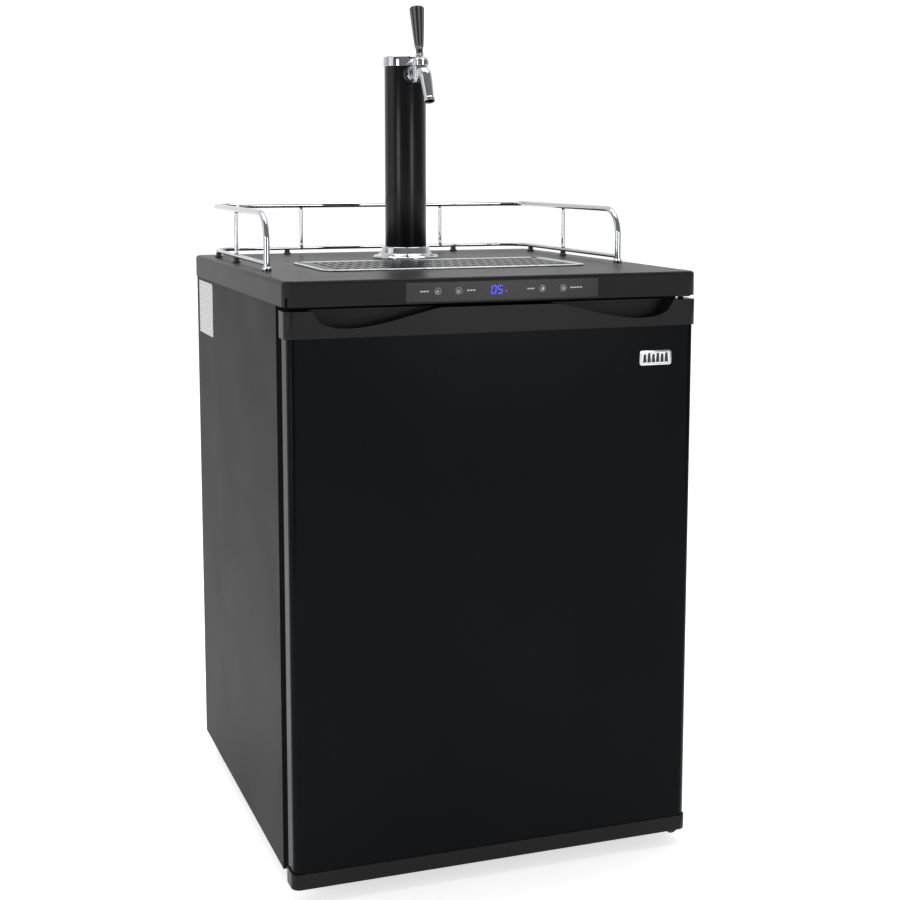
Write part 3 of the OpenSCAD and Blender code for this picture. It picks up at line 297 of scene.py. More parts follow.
# Blender numbers a name that a CAD material already has, and the number is cut off here
PAINTS = {made.name.split(".")[0]: made for made in (
    painted("cabinet_paint", (0.012, 0.012, 0.013), 0.42, Specular_IOR_Level=0.025),
    painted("door_paint", (0.0024, 0.0031, 0.0042), 0.26, 1100, 0.00002, Specular_IOR_Level=0.05),
    brushed("plated_steel", (0.42, 0.43, 0.44), 0.42, LONG_X),
    foamy("insulation_foam", (0.80, 0.70, 0.42)),
    moulded("white_plastic", (0.80, 0.81, 0.80), 0.32, 500, 0.00003, wavy=False),
    rubbery("gasket_rubber", (0.10, 0.10, 0.105)),
    moulded("worktop_plastic", (0.016, 0.016, 0.017), 0.34, 1300, 0.00006, Specular_IOR_Level=0.045),
    moulded("cap_plastic", (0.013, 0.013, 0.014), 0.33, 1300, 0.00005, Specular_IOR_Level=0.09),
    moulded("overlay", (0.019, 0.019, 0.021), 0.22, 2600, 0.00001, Specular_IOR_Level=0.15),
    moulded("button_plastic", (0.010, 0.010, 0.011), 0.2, 2600, 0.00001),
    moulded("circuit", (0.02, 0.17, 0.07), 0.4),
    polished("chrome", (0.46, 0.47, 0.49)),
    painted("tower_paint", (0.004, 0.004, 0.005), 0.24, 1500, 0.00001, Specular_IOR_Level=0.2),
    moulded("handle_plastic", (0.006, 0.006, 0.007), 0.13, 2600, 0.00001, Coat_Weight=0.6),
    # Lighter grey for the floors of the handle's flutes: a painted highlight, not the handle's own colour
    moulded("handle_groove_painted_highlight", (0.13, 0.13, 0.135), 0.2, 2600, 0.00001, Coat_Weight=0.6),
    moulded("black_plastic", (0.02, 0.02, 0.021), 0.5),
    brushed("stainless", (0.58, 0.59, 0.60), 0.27, LONG_X),
    painted("grille_steel", (0.012, 0.012, 0.013), 0.32, Specular_IOR_Level=0.12),
    painted("hinge_steel", (0.02, 0.02, 0.021), 0.34),
    brushed("cold_plate", (0.70, 0.71, 0.73), 0.35, LONG_Z),
    brushed("cylinder_aluminium", (0.66, 0.67, 0.69), 0.33, (40, 40, 1500)),
    brushed("brass", (0.66, 0.49, 0.22), 0.26, (300, 300, 1500)),
    brushed("copper", (0.66, 0.33, 0.19), 0.3, (300, 300, 300)),
    painted("compressor_black", (0.010, 0.010, 0.011), 0.25, 400, 0.00012),
    painted("condenser_black", (0.015, 0.015, 0.016), 0.55),
    clear_vinyl("hose_clear", (0.82, 0.84, 0.80), 0.55),
    clear_vinyl("hose_red", (0.42, 0.015, 0.012), 0.15),
    moulded("clip_plastic", (0.72, 0.72, 0.71), 0.35),
    brushed("badge_metal", (0.74, 0.75, 0.76), 0.2, LONG_X, 0.00001),
    moulded("light_mark", (0.55, 0.56, 0.57), 0.4, 2600, 0.00001),
    moulded("ring_mark", (0.16, 0.16, 0.17), 0.25, 2600, 0.00001),
    # Dark print on the badge and dials and the gauge needle; also painted shade in the cross recesses of the
    # screws
    moulded("dark_mark", (0.006, 0.006, 0.007), 0.25, 2600, 0.00001),
    glowing("display_glow", (0.03, 0.05, 1.0), 2.2),
    moulded("dial_face", (0.78, 0.78, 0.76), 0.4, 900, 0.00001),
    moulded("needle_red", (0.55, 0.02, 0.015), 0.35, 900, 0.00001),
    paper_label("label_paper"),
    clear_vinyl("clear_glass", (0.95, 0.96, 0.96), 0.95),
)}


# ---- Shapes ----

def along(origin, direction):
    """Matrix that puts the origin at a point and turns +Z to a direction."""
    return Matrix.Translation(Vector(origin)) @ Vector(direction).to_track_quat("Z", "Y").to_matrix().to_4x4()


def upright(x, y, z=0.0):
    """Matrix of an upright axis through a point."""
    return along((x, y, z), Z_AXIS)


def facing_door(x, y, z):
    """Matrix for an outline that faces the door: its X to the right, its Y up, its thickness towards -Y."""
    return Matrix(((1, 0, 0, x), (0, 0, -1, y), (0, 1, 0, z), (0, 0, 0, 1)))


def middle(node):
    """Middle of a node's box."""
    low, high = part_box(node)
    return (low + high) / 2


def arc(center, radius, start, end, steps):
    """Points of an arc in a plane, between two angles in degrees."""
    return [
        (center[0] + radius * math.cos(math.radians(start + (end - start) * i / steps)),
         center[1] + radius * math.sin(math.radians(start + (end - start) * i / steps)))
        for i in range(steps + 1)
    ]


def rounded(points, radius, steps=4, closed=False):
    """The polyline with its corners rounded. radius is one number, or one for each point."""
    count = len(points)
    radii = radius if hasattr(radius, "__len__") else [radius] * count
    out = []
    for i, point in enumerate(points):
        here = Vector(point)
        if (not closed and i in (0, count - 1)) or radii[i] <= 0:
            out.append(here)
            continue
        before, after = Vector(points[i - 1]) - here, Vector(points[(i + 1) % count]) - here
        turn = before.angle(after, math.pi)
        if turn > math.pi - 1e-3:
            out.append(here)
            continue
        reach = min(radii[i] / math.tan(turn / 2), 0.49 * before.length, 0.49 * after.length)
        size = reach * math.tan(turn / 2)
        before, after = before.normalized(), after.normalized()
        center = here + (before + after).normalized() * (size / math.sin(turn / 2))
        a, b = here + before * reach - center, here + after * reach - center
        swing = a.angle(b)
        for k in range(steps + 1):
            t = k / steps
            out.append(center + (a * math.sin((1 - t) * swing) + b * math.sin(t * swing)) / math.sin(swing))
    return out


def round_outline(x0, y0, x1, y1, radius, z, steps=8):
    """Level outline of a rectangle with round corners."""
    corners = ((x1 - radius, y1 - radius, 0), (x0 + radius, y1 - radius, 90),
               (x0 + radius, y0 + radius, 180), (x1 - radius, y0 + radius, 270))
    return [(x, y, z) for cx, cy, turn in corners for x, y in arc((cx, cy), radius, turn, turn + 90, steps)]


def hexed(angle, radius, height):
    """Radius of a hexagon in whose corners the circle would touch."""
    return radius * math.cos(math.pi / 6) / math.cos(angle % (math.pi / 3) - math.pi / 6)


def finer(path, step):
    """The path with points about every step along it."""
    path = [Vector(p) for p in path]
    out = [path[0]]
    for a, b in zip(path, path[1:]):
        pieces = max(1, round((b - a).length / step))
        out += [a.lerp(b, (i + 1) / pieces) for i in range(pieces)]
    return out


def smooth(points, steps):
    """Smooth curve through points in millimetres."""
    path = [Vector(p) * MM for p in points]
    path = [path[0] * 2 - path[1]] + path + [path[-1] * 2 - path[-2]]
    out = []
    for a, b, c, d in zip(path, path[1:], path[2:], path[3:]):
        for k in range(steps):
            t = k / steps
            square, cube = 2 * a - 5 * b + 4 * c - d, 3 * b - a - 3 * c + d
            out.append((2 * b + (c - a) * t + square * t ** 2 + cube * t ** 3) / 2)
    return out + [path[-2]]


def mm(points):
    """Points given in millimetres, in metres."""
    return [tuple(value * MM for value in point) for point in points]


class Shape:
    """Closed meshes gathered into one piece, each with its own paint."""

    def __init__(self):
        self.verts, self.faces, self.paint, self.paints = [], [], [], []

    def add(self, verts, faces, paint):
        if paint not in self.paints:
            self.paints.append(paint)
        base = len(self.verts)
        self.verts += [Vector(v) for v in verts]
        self.faces += [[base + i for i in face] for face in faces]
        self.paint += [self.paints.index(paint)] * len(faces)
        return self

    def lathe(self, profile, place, paint, segments=64, reach=None, ring=False):
        """Turns a profile of (radius, height) about the place's Z.

        reach(angle, radius, height) changes the radius.
        With ring the profile closes on itself, for a hollow piece.
        """
        verts, rings = [], []
        for radius, height in profile:
            if radius < 1e-7:
                rings.append([len(verts)])
                verts.append(place @ Vector((0, 0, height)))
                continue
            rings.append(list(range(len(verts), len(verts) + segments)))
            for k in range(segments):
                angle = FULL_TURN * k / segments
                r = reach(angle, radius, height) if reach else radius
                verts.append(place @ Vector((r * math.cos(angle), r * math.sin(angle), height)))
        faces = []
        for low, high in zip(rings, rings[1:] + rings[:1] if ring else rings[1:]):
            for k in range(segments):
                n = (k + 1) % segments
                if len(low) == 1 and len(high) > 1:
                    faces.append((low[0], high[n], high[k]))
                elif len(high) == 1 and len(low) > 1:
                    faces.append((low[k], low[n], high[0]))
                elif len(low) > 1:
                    faces.append((low[k], low[n], high[n], high[k]))
        for end, order in ((rings[0], -1), (rings[-1], 1)):
            if len(end) > 1 and not ring:
                faces.append(end[::order])
        return self.add(verts, faces, paint)

    def tube(self, path, radius, paint, sides=24):
        """Sweeps a circle along a path. radius is a number or a function of the share of the path."""
        path = [Vector(p) for p in path]
        lengths = [0.0]
        for a, b in zip(path, path[1:]):
            lengths.append(lengths[-1] + (b - a).length)
        verts, last = [], None
        for i, point in enumerate(path):
            heading = (path[min(i + 1, len(path) - 1)] - path[max(i - 1, 0)]).normalized()
            side = last or (X_AXIS if abs(heading.x) < 0.9 else Y_AXIS)
            side = (side - heading * side.dot(heading)).normalized()
            other, last = heading.cross(side), side
            r = radius(lengths[i] / lengths[-1]) if callable(radius) else radius
            for k in range(sides):
                angle = FULL_TURN * k / sides
                verts.append(point + r * (math.cos(angle) * side + math.sin(angle) * other))
        faces = [
            (i * sides + k, i * sides + (k + 1) % sides, (i + 1) * sides + (k + 1) % sides,
             (i + 1) * sides + k)
            for i in range(len(path) - 1) for k in range(sides)
        ]
        faces.append(list(range(sides))[::-1])
        faces.append([(len(path) - 1) * sides + k for k in range(sides)])
        return self.add(verts, faces, paint)

    def block(self, low, high, radius, paint, steps=3, place=Matrix.Identity(4)):
        """Block with rounded edges between two corners."""
        low, high = Vector(low), Vector(high)
        size, center = high - low, (low + high) / 2
        work = bmesh.new()
        bmesh.ops.create_cube(work, size=1.0)
        for v in work.verts:
            v.co = v.co * size + center
        bmesh.ops.bevel(work, geom=work.edges[:], offset=radius, segments=steps, affect="EDGES", profile=0.5)
        self.add([place @ v.co for v in work.verts], [[v.index for v in f.verts] for f in work.faces], paint)
        work.free()
        return self

    def prism(self, outline, thickness, place, paint, edge=0.0, steps=2):
        """Extrudes a flat outline along the place's Z, with its edges rounded by edge."""
        work = bmesh.new()
        ring = [work.verts.new((p[0], p[1], 0)) for p in outline]
        face = work.faces.new(ring)
        made = bmesh.ops.extrude_face_region(work, geom=[face])
        bmesh.ops.translate(work, verts=[g for g in made["geom"] if isinstance(g, bmesh.types.BMVert)],
                            vec=(0, 0, thickness))
        bmesh.ops.recalc_face_normals(work, faces=work.faces[:])
        if edge > 0:
            rims = [e for e in work.edges if abs(e.verts[0].co.z - e.verts[1].co.z) < 1e-9]
            bmesh.ops.bevel(work, geom=rims, offset=edge, segments=steps, affect="EDGES", profile=0.5)
        work.verts.index_update()
        self.add([place @ v.co for v in work.verts], [[v.index for v in f.verts] for f in work.faces], paint)
        work.free()
        return self

    def loft(self, rings, paint):
        """Skins level outlines of equal length, each a list of points, and closes both ends."""
        count = len(rings[0])
        faces = [
            (i * count + k, i * count + (k + 1) % count, (i + 1) * count + (k + 1) % count,
             (i + 1) * count + k)
            for i in range(len(rings) - 1) for k in range(count)
        ]
        faces.append(list(range(count))[::-1])
        faces.append([(len(rings) - 1) * count + k for k in range(count)])
        return self.add([p for ring in rings for p in ring], faces, paint)

    def make(self, name, body, slot=None, replaces=(), crease=32):
        """Makes the piece, smooth but for its sharp edges, and lets it ride on a body, if one is given."""
        mesh = bpy.data.meshes.new(name)
        mesh.from_pydata([tuple(v) for v in self.verts], [], self.faces)
        for paint in self.paints:
            mesh.materials.append(PAINTS[paint])
        mesh.polygons.foreach_set("material_index", self.paint)
        work = bmesh.new()
        work.from_mesh(mesh)
        bmesh.ops.recalc_face_normals(work, faces=work.faces[:])
        work.to_mesh(mesh)
        work.free()
        mesh.shade_smooth()
        mesh.set_sharp_from_angle(angle=math.radians(crease))
        piece = bpy.data.objects.new(name, mesh)
        bpy.context.scene.collection.objects.link(piece)
        if body:
            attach(piece, body)
        if replaces:
            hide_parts(*replaces)
        return piece


def dress(node, paint, edge):
    """Gives a CAD node its finish and rounds its sharp edges by edge metres."""
    piece = frame["nodes"][node]
    for slot in piece.material_slots:
        slot.material = PAINTS[paint]
    if edge:
        weld = piece.modifiers.new("weld", "WELD")
        weld.merge_threshold = 0.000005
        flat = piece.modifiers.new("flat", "DECIMATE")
        flat.decimate_type = "DISSOLVE"
        flat.angle_limit = math.radians(1)
        bevel = piece.modifiers.new("bevel", "BEVEL")
        bevel.width = edge
        bevel.segments = 2
        bevel.limit_method = "ANGLE"
        bevel.angle_limit = math.radians(30)
        bevel.harden_normals = True


# ---- Finishes of the CAD nodes ----

def dress_cad_nodes():
    """One paint a row, with the radius in millimetres that the edges of the nodes after it get."""
    for paint, *rounding in (
        ("cabinet_paint", 0.4, "cabinet_shell"),
        ("plated_steel", 0.4, "back_panel cylinder_strap"),
        ("insulation_foam", 0, "foam_insulation door_foam"),
        ("white_plastic", 0.8, "inner_liner", 1.5, "door_liner"),
        ("hinge_steel", 0.4, "base_pan", 0.5, "hinge_bracket_top hinge_bracket_bottom"),
        ("black_plastic",
         0.4, "guard_rail_feet",
         0.5, "shank_collar regulator_screw cord_gland",
         0.6, "levelling_foot_left levelling_foot_right",
         0.8, "rear_feet coupler_handle valve_knob"),
        ("stainless",
         0.2, "faucet_shaft",
         0.3, "tower_screws coupler_probe",
         0.4, "keg_floor_plate drip_tray"),
        ("cold_plate", 0, "evaporator_plate"),
        ("worktop_plastic", 0.5, "worktop"),
        ("overlay", 0, "control_panel"),
        ("circuit", 0, "control_board"),
        ("chrome",
         0, "guard_rail_upper guard_rail_lower guard_rail_posts",
         0.2, "faucet_lever",
         0.3, "tower_flange faucet_shank faucet_bonnet",
         0.4, "coupling_nut faucet_body",
         0.5, "tower_cap keg_coupler"),
        ("tower_paint", 0.3, "tower_column"),
        ("handle_plastic", 0.3, "tap_handle"),
        ("grille_steel", 0.3, "drip_grille"),
        ("button_plastic", 0.3, "button_up button_down button_light button_power"),
        ("door_paint", 0.3, "door_panel"),
        ("cap_plastic", 1.2, "door_top_cap", 1.5, "door_bottom_cap"),
        ("gasket_rubber", 1.2, "door_gasket"),
        ("badge_metal", 0.3, "badge_plate"),
        ("hose_clear", 0, "beer_line"),
        ("hose_red", 0, "gas_line"),
        ("clip_plastic", 0.8, "line_clips"),
        ("cylinder_aluminium", 0.6, "co2_cylinder"),
        ("brass", 0.5, "co2_valve co2_regulator"),
        ("compressor_black", 1.5, "compressor"),
        ("condenser_black", 0, "condenser_coil"),
        ("copper", 0, "refrigerant_pipes"),
    ):
        for edge, nodes in zip(rounding[::2], rounding[1::2]):
            for node in nodes.split():
                dress(node, paint, edge * MM)


# ---- Guard rail ----

WORKTOP_LOW, WORKTOP_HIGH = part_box("worktop")
TOP = WORKTOP_HIGH.z
FRONT = WORKTOP_LOW.y


def guard_rail():
    """Bent tubes of the two rails, welded posts with small fillets, and the pegs under them."""
    tube_r, low_r, post_r, bend = 4.5 * MM, 3.2 * MM, 2.85 * MM, 45 * MM
    low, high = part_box("guard_rail_upper")
    x, back, front, z = high.x - tube_r, high.y - tube_r, low.y + tube_r, high.z - tube_r
    low_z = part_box("guard_rail_lower")[0].z + low_r
    corners = [(-x, front, TOP), (-x, front, z), (-x, back, z), (x, back, z), (x, front, z), (x, front, TOP)]
    upper = Shape().tube(rounded(corners, bend, 14), tube_r, "chrome", 32)
    upper.make("guard_rail_upper_tube", "cabinet", "chrome", ["guard_rail_upper"])

    corners = [(-x, front, low_z), (-x, back, low_z), (x, back, low_z), (x, front, low_z)]
    lower = Shape().tube(rounded(corners, bend, 14), low_r, "chrome", 28)
    bead = mm([(4.7, -0.5), (4.8, 4), (3.6, 5.5), (2.88, 6.5)])
    for side in (-x, x):
        lower.lathe(bead, along((side, front, low_z), Y_AXIS), "chrome", 28)
    lower.make("guard_rail_lower_tube", "cabinet", "chrome", ["guard_rail_lower"])

    def post_radius(share):
        """Wider towards both ends of a post, as a weld fillet is."""
        fillet_r, fillet_h = 1.3 * MM, 8 * MM
        near = min(share, 1 - share) * (z - low_z)
        return post_r + fillet_r * max(0.0, 1 - near / fillet_h) ** 2

    posts = Shape()
    side_y, back_x, steps = 100 * MM, 125 * MM, 40
    for px, py in ((-x, side_y), (x, side_y), (-back_x, back), (back_x, back)):
        path = [(px, py, low_z + (z - low_z) * i / steps) for i in range(steps + 1)]
        posts.tube(path, post_radius, "chrome", 24)
    posts.make("guard_rail_post_tubes", "cabinet", "chrome", ["guard_rail_posts"])

    pegs = Shape()
    height = (low_z - low_r - TOP) / MM + 0.6
    peg = rounded(mm([(0, 0), (6.4, 0), (6.4, 1.6), (4.6, 2.6), (4.2, height), (0, height)]), 0.5 * MM, 3)
    corner_y, peg_x = back - bend - 5 * MM, 150 * MM
    for px, py in ((-peg_x, back), (peg_x, back), (-x, side_y), (x, side_y), (-x, corner_y), (x, corner_y)):
        pegs.lathe(peg, upright(px, py, TOP), "black_plastic", 32)
    collar = rounded(mm([(4.5, 0), (7, 0), (7, 4.5), (5.2, 6), (4.5, 6)]), 0.9 * MM, 4)
    for side in (-x, x):
        pegs.lathe(collar, upright(side, front, TOP), "chrome", 40)
    pegs.make("guard_rail_pegs", "cabinet", "black_plastic", ["guard_rail_feet"])


# ---- Tower and faucet ----

def pan_screw(shape, place, radius):
    """Pan head with a cross recess, seated at the place's origin and rising along its Z. The recess is a dark
    cross laid on the dome, painted shade in place of a cut.
    """
    height = radius * 0.62
    turns = [math.radians(a) for a in range(0, 90, 15)]
    dome = [(radius * math.cos(a), height * (0.25 + 0.75 * math.sin(a))) for a in turns]
    shape.lathe([(radius * 0.96, 0)] + dome + [(0, height)], place, "stainless", 28)
    arm, width, depth = radius * 0.55, radius * 0.13, radius * 0.05
    # The cross is painted shade: dark blocks on the head, not cut into it
    for turn in (20, 110):
        cross = place @ Matrix.Rotation(math.radians(turn), 4, "Z")
        low, high = (-arm, -width, height - depth), (arm, width, height + depth * 0.5)
        shape.block(low, high, depth * 0.4, "dark_mark", 1, cross)


def tower():
    """Column, cap with its skirt over the column, flange and the four screws in it."""
    low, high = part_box("tower_column")
    center = middle("tower_column")
    radius, wall = (high.x - low.x) / 2, 1.5 * MM
    foot = upright(center.x, center.y)
    column = [(radius - wall, low.z), (radius, low.z), (radius, high.z), (radius - wall, high.z)]
    tube = Shape().lathe(rounded(column, 0.5 * MM, 3), foot, "tower_paint", 128, ring=True)
    tube.make("tower_column_tube", "cabinet", "tower_paint", ["tower_column"])

    cap_low, cap_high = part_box("tower_cap")
    skirt = (cap_high.x - cap_low.x) / 2
    cap = [(radius + 0.1 * MM, cap_low.z), (skirt, cap_low.z), (skirt, cap_high.z), (0, cap_high.z)]
    cap = Shape().lathe(rounded(cap, [0, 0.5 * MM, 2.6 * MM, 0], 8), foot, "chrome", 128)
    cap.make("tower_cap_chrome", "cabinet", "chrome", ["tower_cap"])

    steps = [(33.2, 0.05), (52.5, 0.05), (52.5, 4), (50.5, 6), (43, 7),
             (40, 10), (38, 19), (37, 20), (33.2, 20)]
    bends = [0, 0.3, 1.5, 1.5, 4, 4, 3, 0.8, 0]
    flange = rounded(mm(steps), [b * MM for b in bends], 6)
    on_top = upright(center.x, center.y, TOP)
    flange = Shape().lathe(flange, on_top, "chrome", 128, ring=True)
    flange.make("tower_flange_chrome", "cabinet", "chrome", ["tower_flange"])

    screws = Shape()
    screw_circle, seat, screw_r = 46.5 * MM, TOP + 6.7 * MM, 3.6 * MM
    for x, y in arc((center.x, center.y), screw_circle, 45, 315, 3):
        pan_screw(screws, upright(x, y, seat), screw_r)
    screws.make("tower_screw_heads", "cabinet", "stainless", ["tower_screws"])


SPOUT_TURN = math.radians(65)
SPOUT_WAY = Vector((0, -math.cos(SPOUT_TURN), -math.sin(SPOUT_TURN)))
SPOUT_LENGTH = 49.5
NOSE = Vector((0, 0.5 * MM, middle("coupling_nut").z))
PIVOT = Vector(next(j for j in frame["joints"] if j["name"] == "tap_pull")["pos_m"])


def coupling_nut():
    """Ring nut with six round spanner notches."""
    low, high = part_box("coupling_nut")
    radius, length, notch_r, hole_r = (high.x - low.x) / 2, high.y - low.y, 2.3 * MM, 9.1 * MM

    def notches(angle, r, height):
        pitch = FULL_TURN / 6
        off = abs((angle + pitch / 2) % pitch - pitch / 2) * radius
        cut = max(0.0, 1 - (off / notch_r) ** 2)
        return r - (1.7 * MM * math.sqrt(cut) if r > radius - 1.5 * MM else 0)

    ring = rounded([(hole_r, 0), (radius, 0), (radius, length), (hole_r, length)], [0, 2 * MM, 1 * MM, 0], 6)
    nut = Shape().lathe(ring, along((0, low.y, NOSE.z), Y_AXIS), "chrome", 144, notches, ring=True)
    nut.make("coupling_nut_chrome", "cabinet", "chrome", ["coupling_nut"])


def faucet():
    """Chrome faucet: barrel with its elbow, spout with an open mouth, seat of the lever and bonnet."""
    body = Shape()
    bend = 15 * MM
    elbow_end = NOSE + SPOUT_WAY * (bend * math.tan((math.pi / 2 - SPOUT_TURN) / 2 + math.pi / 4) * 0.6)
    start = (0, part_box("coupling_nut")[0].y + 2 * MM, NOSE.z)
    barrel = rounded([start, NOSE, elbow_end + SPOUT_WAY * 2 * MM], bend, 18)

    def barrel_radius(share):
        blend = min(1.0, max(0.0, (share - 0.35) / 0.6))
        return (10.5 - 1.5 * blend * blend * (3 - 2 * blend)) * MM

    body.tube(finer(barrel, 1.5 * MM), barrel_radius, "chrome", 56)
    root, end = (barrel[-1] - NOSE).length / MM - 0.2, SPOUT_LENGTH
    spout = mm([(0, root), (9, root), (7.6, end - 6.2), (8.3, end - 4.4), (8.3, end), (5.2, end),
                (5, end - 34),
                (0, end - 34)])
    body.lathe(rounded(spout, [0, 0, 1 * MM, 1 * MM, 1 * MM, 0.6 * MM, 0, 0], 5), along(NOSE, SPOUT_WAY),
               "chrome", 72)
    lift = (PIVOT.z - NOSE.z) / MM
    seat = mm([(0, -15), (7, -15), (9, -12.5), (11.5, -8), (11.5, lift), (0, lift)])
    seat = rounded(seat, [0, 1.5 * MM, 2 * MM, 3 * MM, 0.5 * MM, 0], 5)
    body.lathe(seat, upright(0, PIVOT.y, NOSE.z), "chrome", 72)
    body.make("faucet_body_chrome", "cabinet", "chrome", ["faucet_body"])

    ring = mm([(8, 0), (12, 0), (13, 1.5), (13, 8), (10.5, 12), (7, 12), (7, 9)])
    ring = rounded(ring, [0, 0.4 * MM, 0.8 * MM, 1.4 * MM, 1.2 * MM, 0.4 * MM, 0], 5)
    bonnet = Shape().lathe(ring, along(PIVOT, Z_AXIS), "chrome", 96)
    bonnet.make("faucet_bonnet_chrome", "cabinet", "chrome", ["faucet_bonnet"])


LEVER_LEAN = math.radians(11)
LEVER = along(PIVOT, (0, math.sin(LEVER_LEAN), math.cos(LEVER_LEAN)))


def tap_lever():
    """Lever with its ball, the tip under it and the collar under the handle."""
    ball_r = 7.5 * MM
    turns = [math.radians(a) for a in range(0, 181, 9)]
    parts = Shape().lathe([(ball_r * math.sin(a), -ball_r * math.cos(a)) for a in turns], LEVER, "chrome", 48)
    stem = mm([(0, -12), (1.7, -11.6), (1.7, 0), (3, 6), (3, 15), (5, 15.5), (6.5, 16.5), (6.5, 18.6),
               (5.6, 19),
               (0, 19)])
    parts.lathe(rounded(stem, 0.5 * MM, 4), LEVER, "chrome", 56)
    parts.make("faucet_lever_chrome", "tap", "chrome", ["faucet_lever"])


def tap_handle():
    """Handle with flutes that fade out at both ends. Their floors get a lighter grey paint, a painted
    highlight in place of the gloss that the lights leave in the flutes.
    """
    length, flutes, base, segments = 74 * MM, 8, 19 * MM, 160
    outline = mm([(0, 0), (5.2, 0), (5.6, 1.5), (5.2, 6), (7, 12), (8.6, 30), (10.2, 52), (11.4, 70),
                  (11, 72.4),
                  (9.6, 73.6), (0, 74)])
    bends = [b * MM for b in (0, 0.6, 1, 3, 5, 8, 8, 1.5, 1.5, 1.5, 0)]
    outline = finer(rounded([(r, base + h) for r, h in outline], bends, 6), 2.5 * MM)

    def groove(angle, height):
        share = (height - base) / length
        rise = min(1.0, max(0.0, (share - 0.10) / 0.12)) * min(1.0, max(0.0, (1.0 - share) / 0.04))
        return rise * (0.5 + 0.5 * math.cos(flutes * angle)) ** 1.6

    def fluted(angle, radius, height):
        return radius * (1 - 0.17 * groove(angle, height))

    handle = Shape().lathe([tuple(p) for p in outline], LEVER, "handle_plastic", segments, fluted)
    handle.paints.append("handle_groove_painted_highlight")
    # Faces deep in the flutes get the lighter grey of the painted highlight
    for i, (low, high) in enumerate(zip(outline, outline[1:])):
        for k in range(segments):
            if groove(FULL_TURN * (k + 0.5) / segments, (low.y + high.y) / 2) > 0.45:
                handle.paint[i * segments + k] = 1
    handle.make("tap_handle_fluted", "tap", "handle_plastic", ["tap_handle"], crease=50)


# ---- Fascia ----

BUTTON_Z = TOP - 18 * MM


def fascia_marks():
    """Rows of short bars beside the buttons, where the real panel has captions."""
    marks = Shape()
    thick, half_height = 0.12 * MM, 0.8 * MM
    rows = (("up", -25, -12, 3), ("down", 12, 25, 3), ("light", -22, -11, 3), ("power", 11, 30, 4))
    for name, near, far, dashes in rows:
        x = middle(f"button_{name}").x
        pitch = (far - near) / dashes
        for i in range(dashes):
            left, right = x + (near + i * pitch) * MM, x + (near + (i + 0.72) * pitch) * MM
            low, high = (left, FRONT - thick, BUTTON_Z - half_height), (right, FRONT, BUTTON_Z + half_height)
            marks.block(low, high, 0.05 * MM, "light_mark", 1)
    marks.make("fascia_marks", "cabinet")


def display_digits():
    """Two leaning seven-segment digits and a dot."""
    digits = Shape()
    face = facing_door(0, FRONT + 0.02 * MM, 0)
    wide, tall, half_bar, gap, slant, thick = 6.2 * MM, 10.5 * MM, 0.575 * MM, 0.25 * MM, 0.12, 0.15 * MM
    # Ends of each bar, in shares of the digit's width and height
    bars = {"a": (0, 1, 1, 1), "b": (1, 0.5, 1, 1), "c": (1, 0, 1, 0.5), "d": (0, 0, 1, 0),
            "e": (0, 0, 0, 0.5), "f": (0, 0.5, 0, 1), "g": (0, 0.5, 1, 0.5)}
    for left, lit in ((-13.2 * MM, "abcdef"), (-4 * MM, "afgcd")):
        for name in lit:
            x0, y0, x1, y1 = bars[name]
            a, b = Vector((x0 * wide, y0 * tall)), Vector((x1 * wide, y1 * tall))
            way = (b - a).normalized()
            a, b = a + way * gap, b - way * gap
            tip, across = way * half_bar, Vector((-way.y, way.x)) * half_bar
            hexagon = [a, a + tip + across, b - tip + across, b, b - tip - across, a + tip - across]
            leaning = [(left + p.x + slant * (p.y - tall / 2), BUTTON_Z + p.y - tall / 2) for p in hexagon]
            digits.prism(leaning, thick, face, "display_glow")
    dot = arc((8.4 * MM, BUTTON_Z - 2.2 * MM), 0.9 * MM, 0, 337.5, 15)
    digits.prism(dot, thick, face, "display_glow")
    digits.make("display_digits", "cabinet")


def button(name):
    """Round button: raised ring, dished face and a light icon."""
    x = middle(f"button_{name}").x
    axis = along((x, FRONT + 6 * MM, BUTTON_Z), -Y_AXIS)
    profile = mm([(0, 0), (7, 0.8), (7, 1.7), (5.5, 1.7), (5.5, 6.1), (4.5, 6.5), (3.9, 6), (0, 5.9)])
    profile = rounded(profile, [0, 0, 0, 0, 0.7 * MM, 0.8 * MM, 0.5 * MM, 0], 5)
    cap = Shape().lathe(profile, axis, "button_plastic", 64)
    ring = mm([(5.3, 6.0), (5.3, 6.35), (4.6, 6.62), (3.9, 6.25), (3.9, 6.0)])
    cap.lathe(ring, axis, "ring_mark", 64, ring=True)
    face, thin = facing_door(x, FRONT - 0.05 * MM, BUTTON_Z), 0.14 * MM
    arrow = [(-1.9, -0.9), (0, 1.3), (1.9, -0.9), (1.2, -1.2), (0, 0.2), (-1.2, -1.2)]
    icons = {
        "up": arrow,
        "down": [(px, -py) for px, py in arrow],
        "light": [(0, -2.2)] + arc((0, 0), 2.2, -75, 90, 11),
        "power": arc((0, 0), 1.7, 130, 410, 24) + arc((0, 0), 1.2, 410, 130, 24),
    }
    if name == "power":
        cap.block((-0.35 * MM, 0.1 * MM, 0), (0.35 * MM, 2.2 * MM, thin), 0.05 * MM, "light_mark", 1, face)
    cap.prism(mm(icons[name]), thin, face, "light_mark")
    cap.make(f"button_{name}_cap", f"button_{name}", "button_plastic", [f"button_{name}"])


# ---- Small trim ----

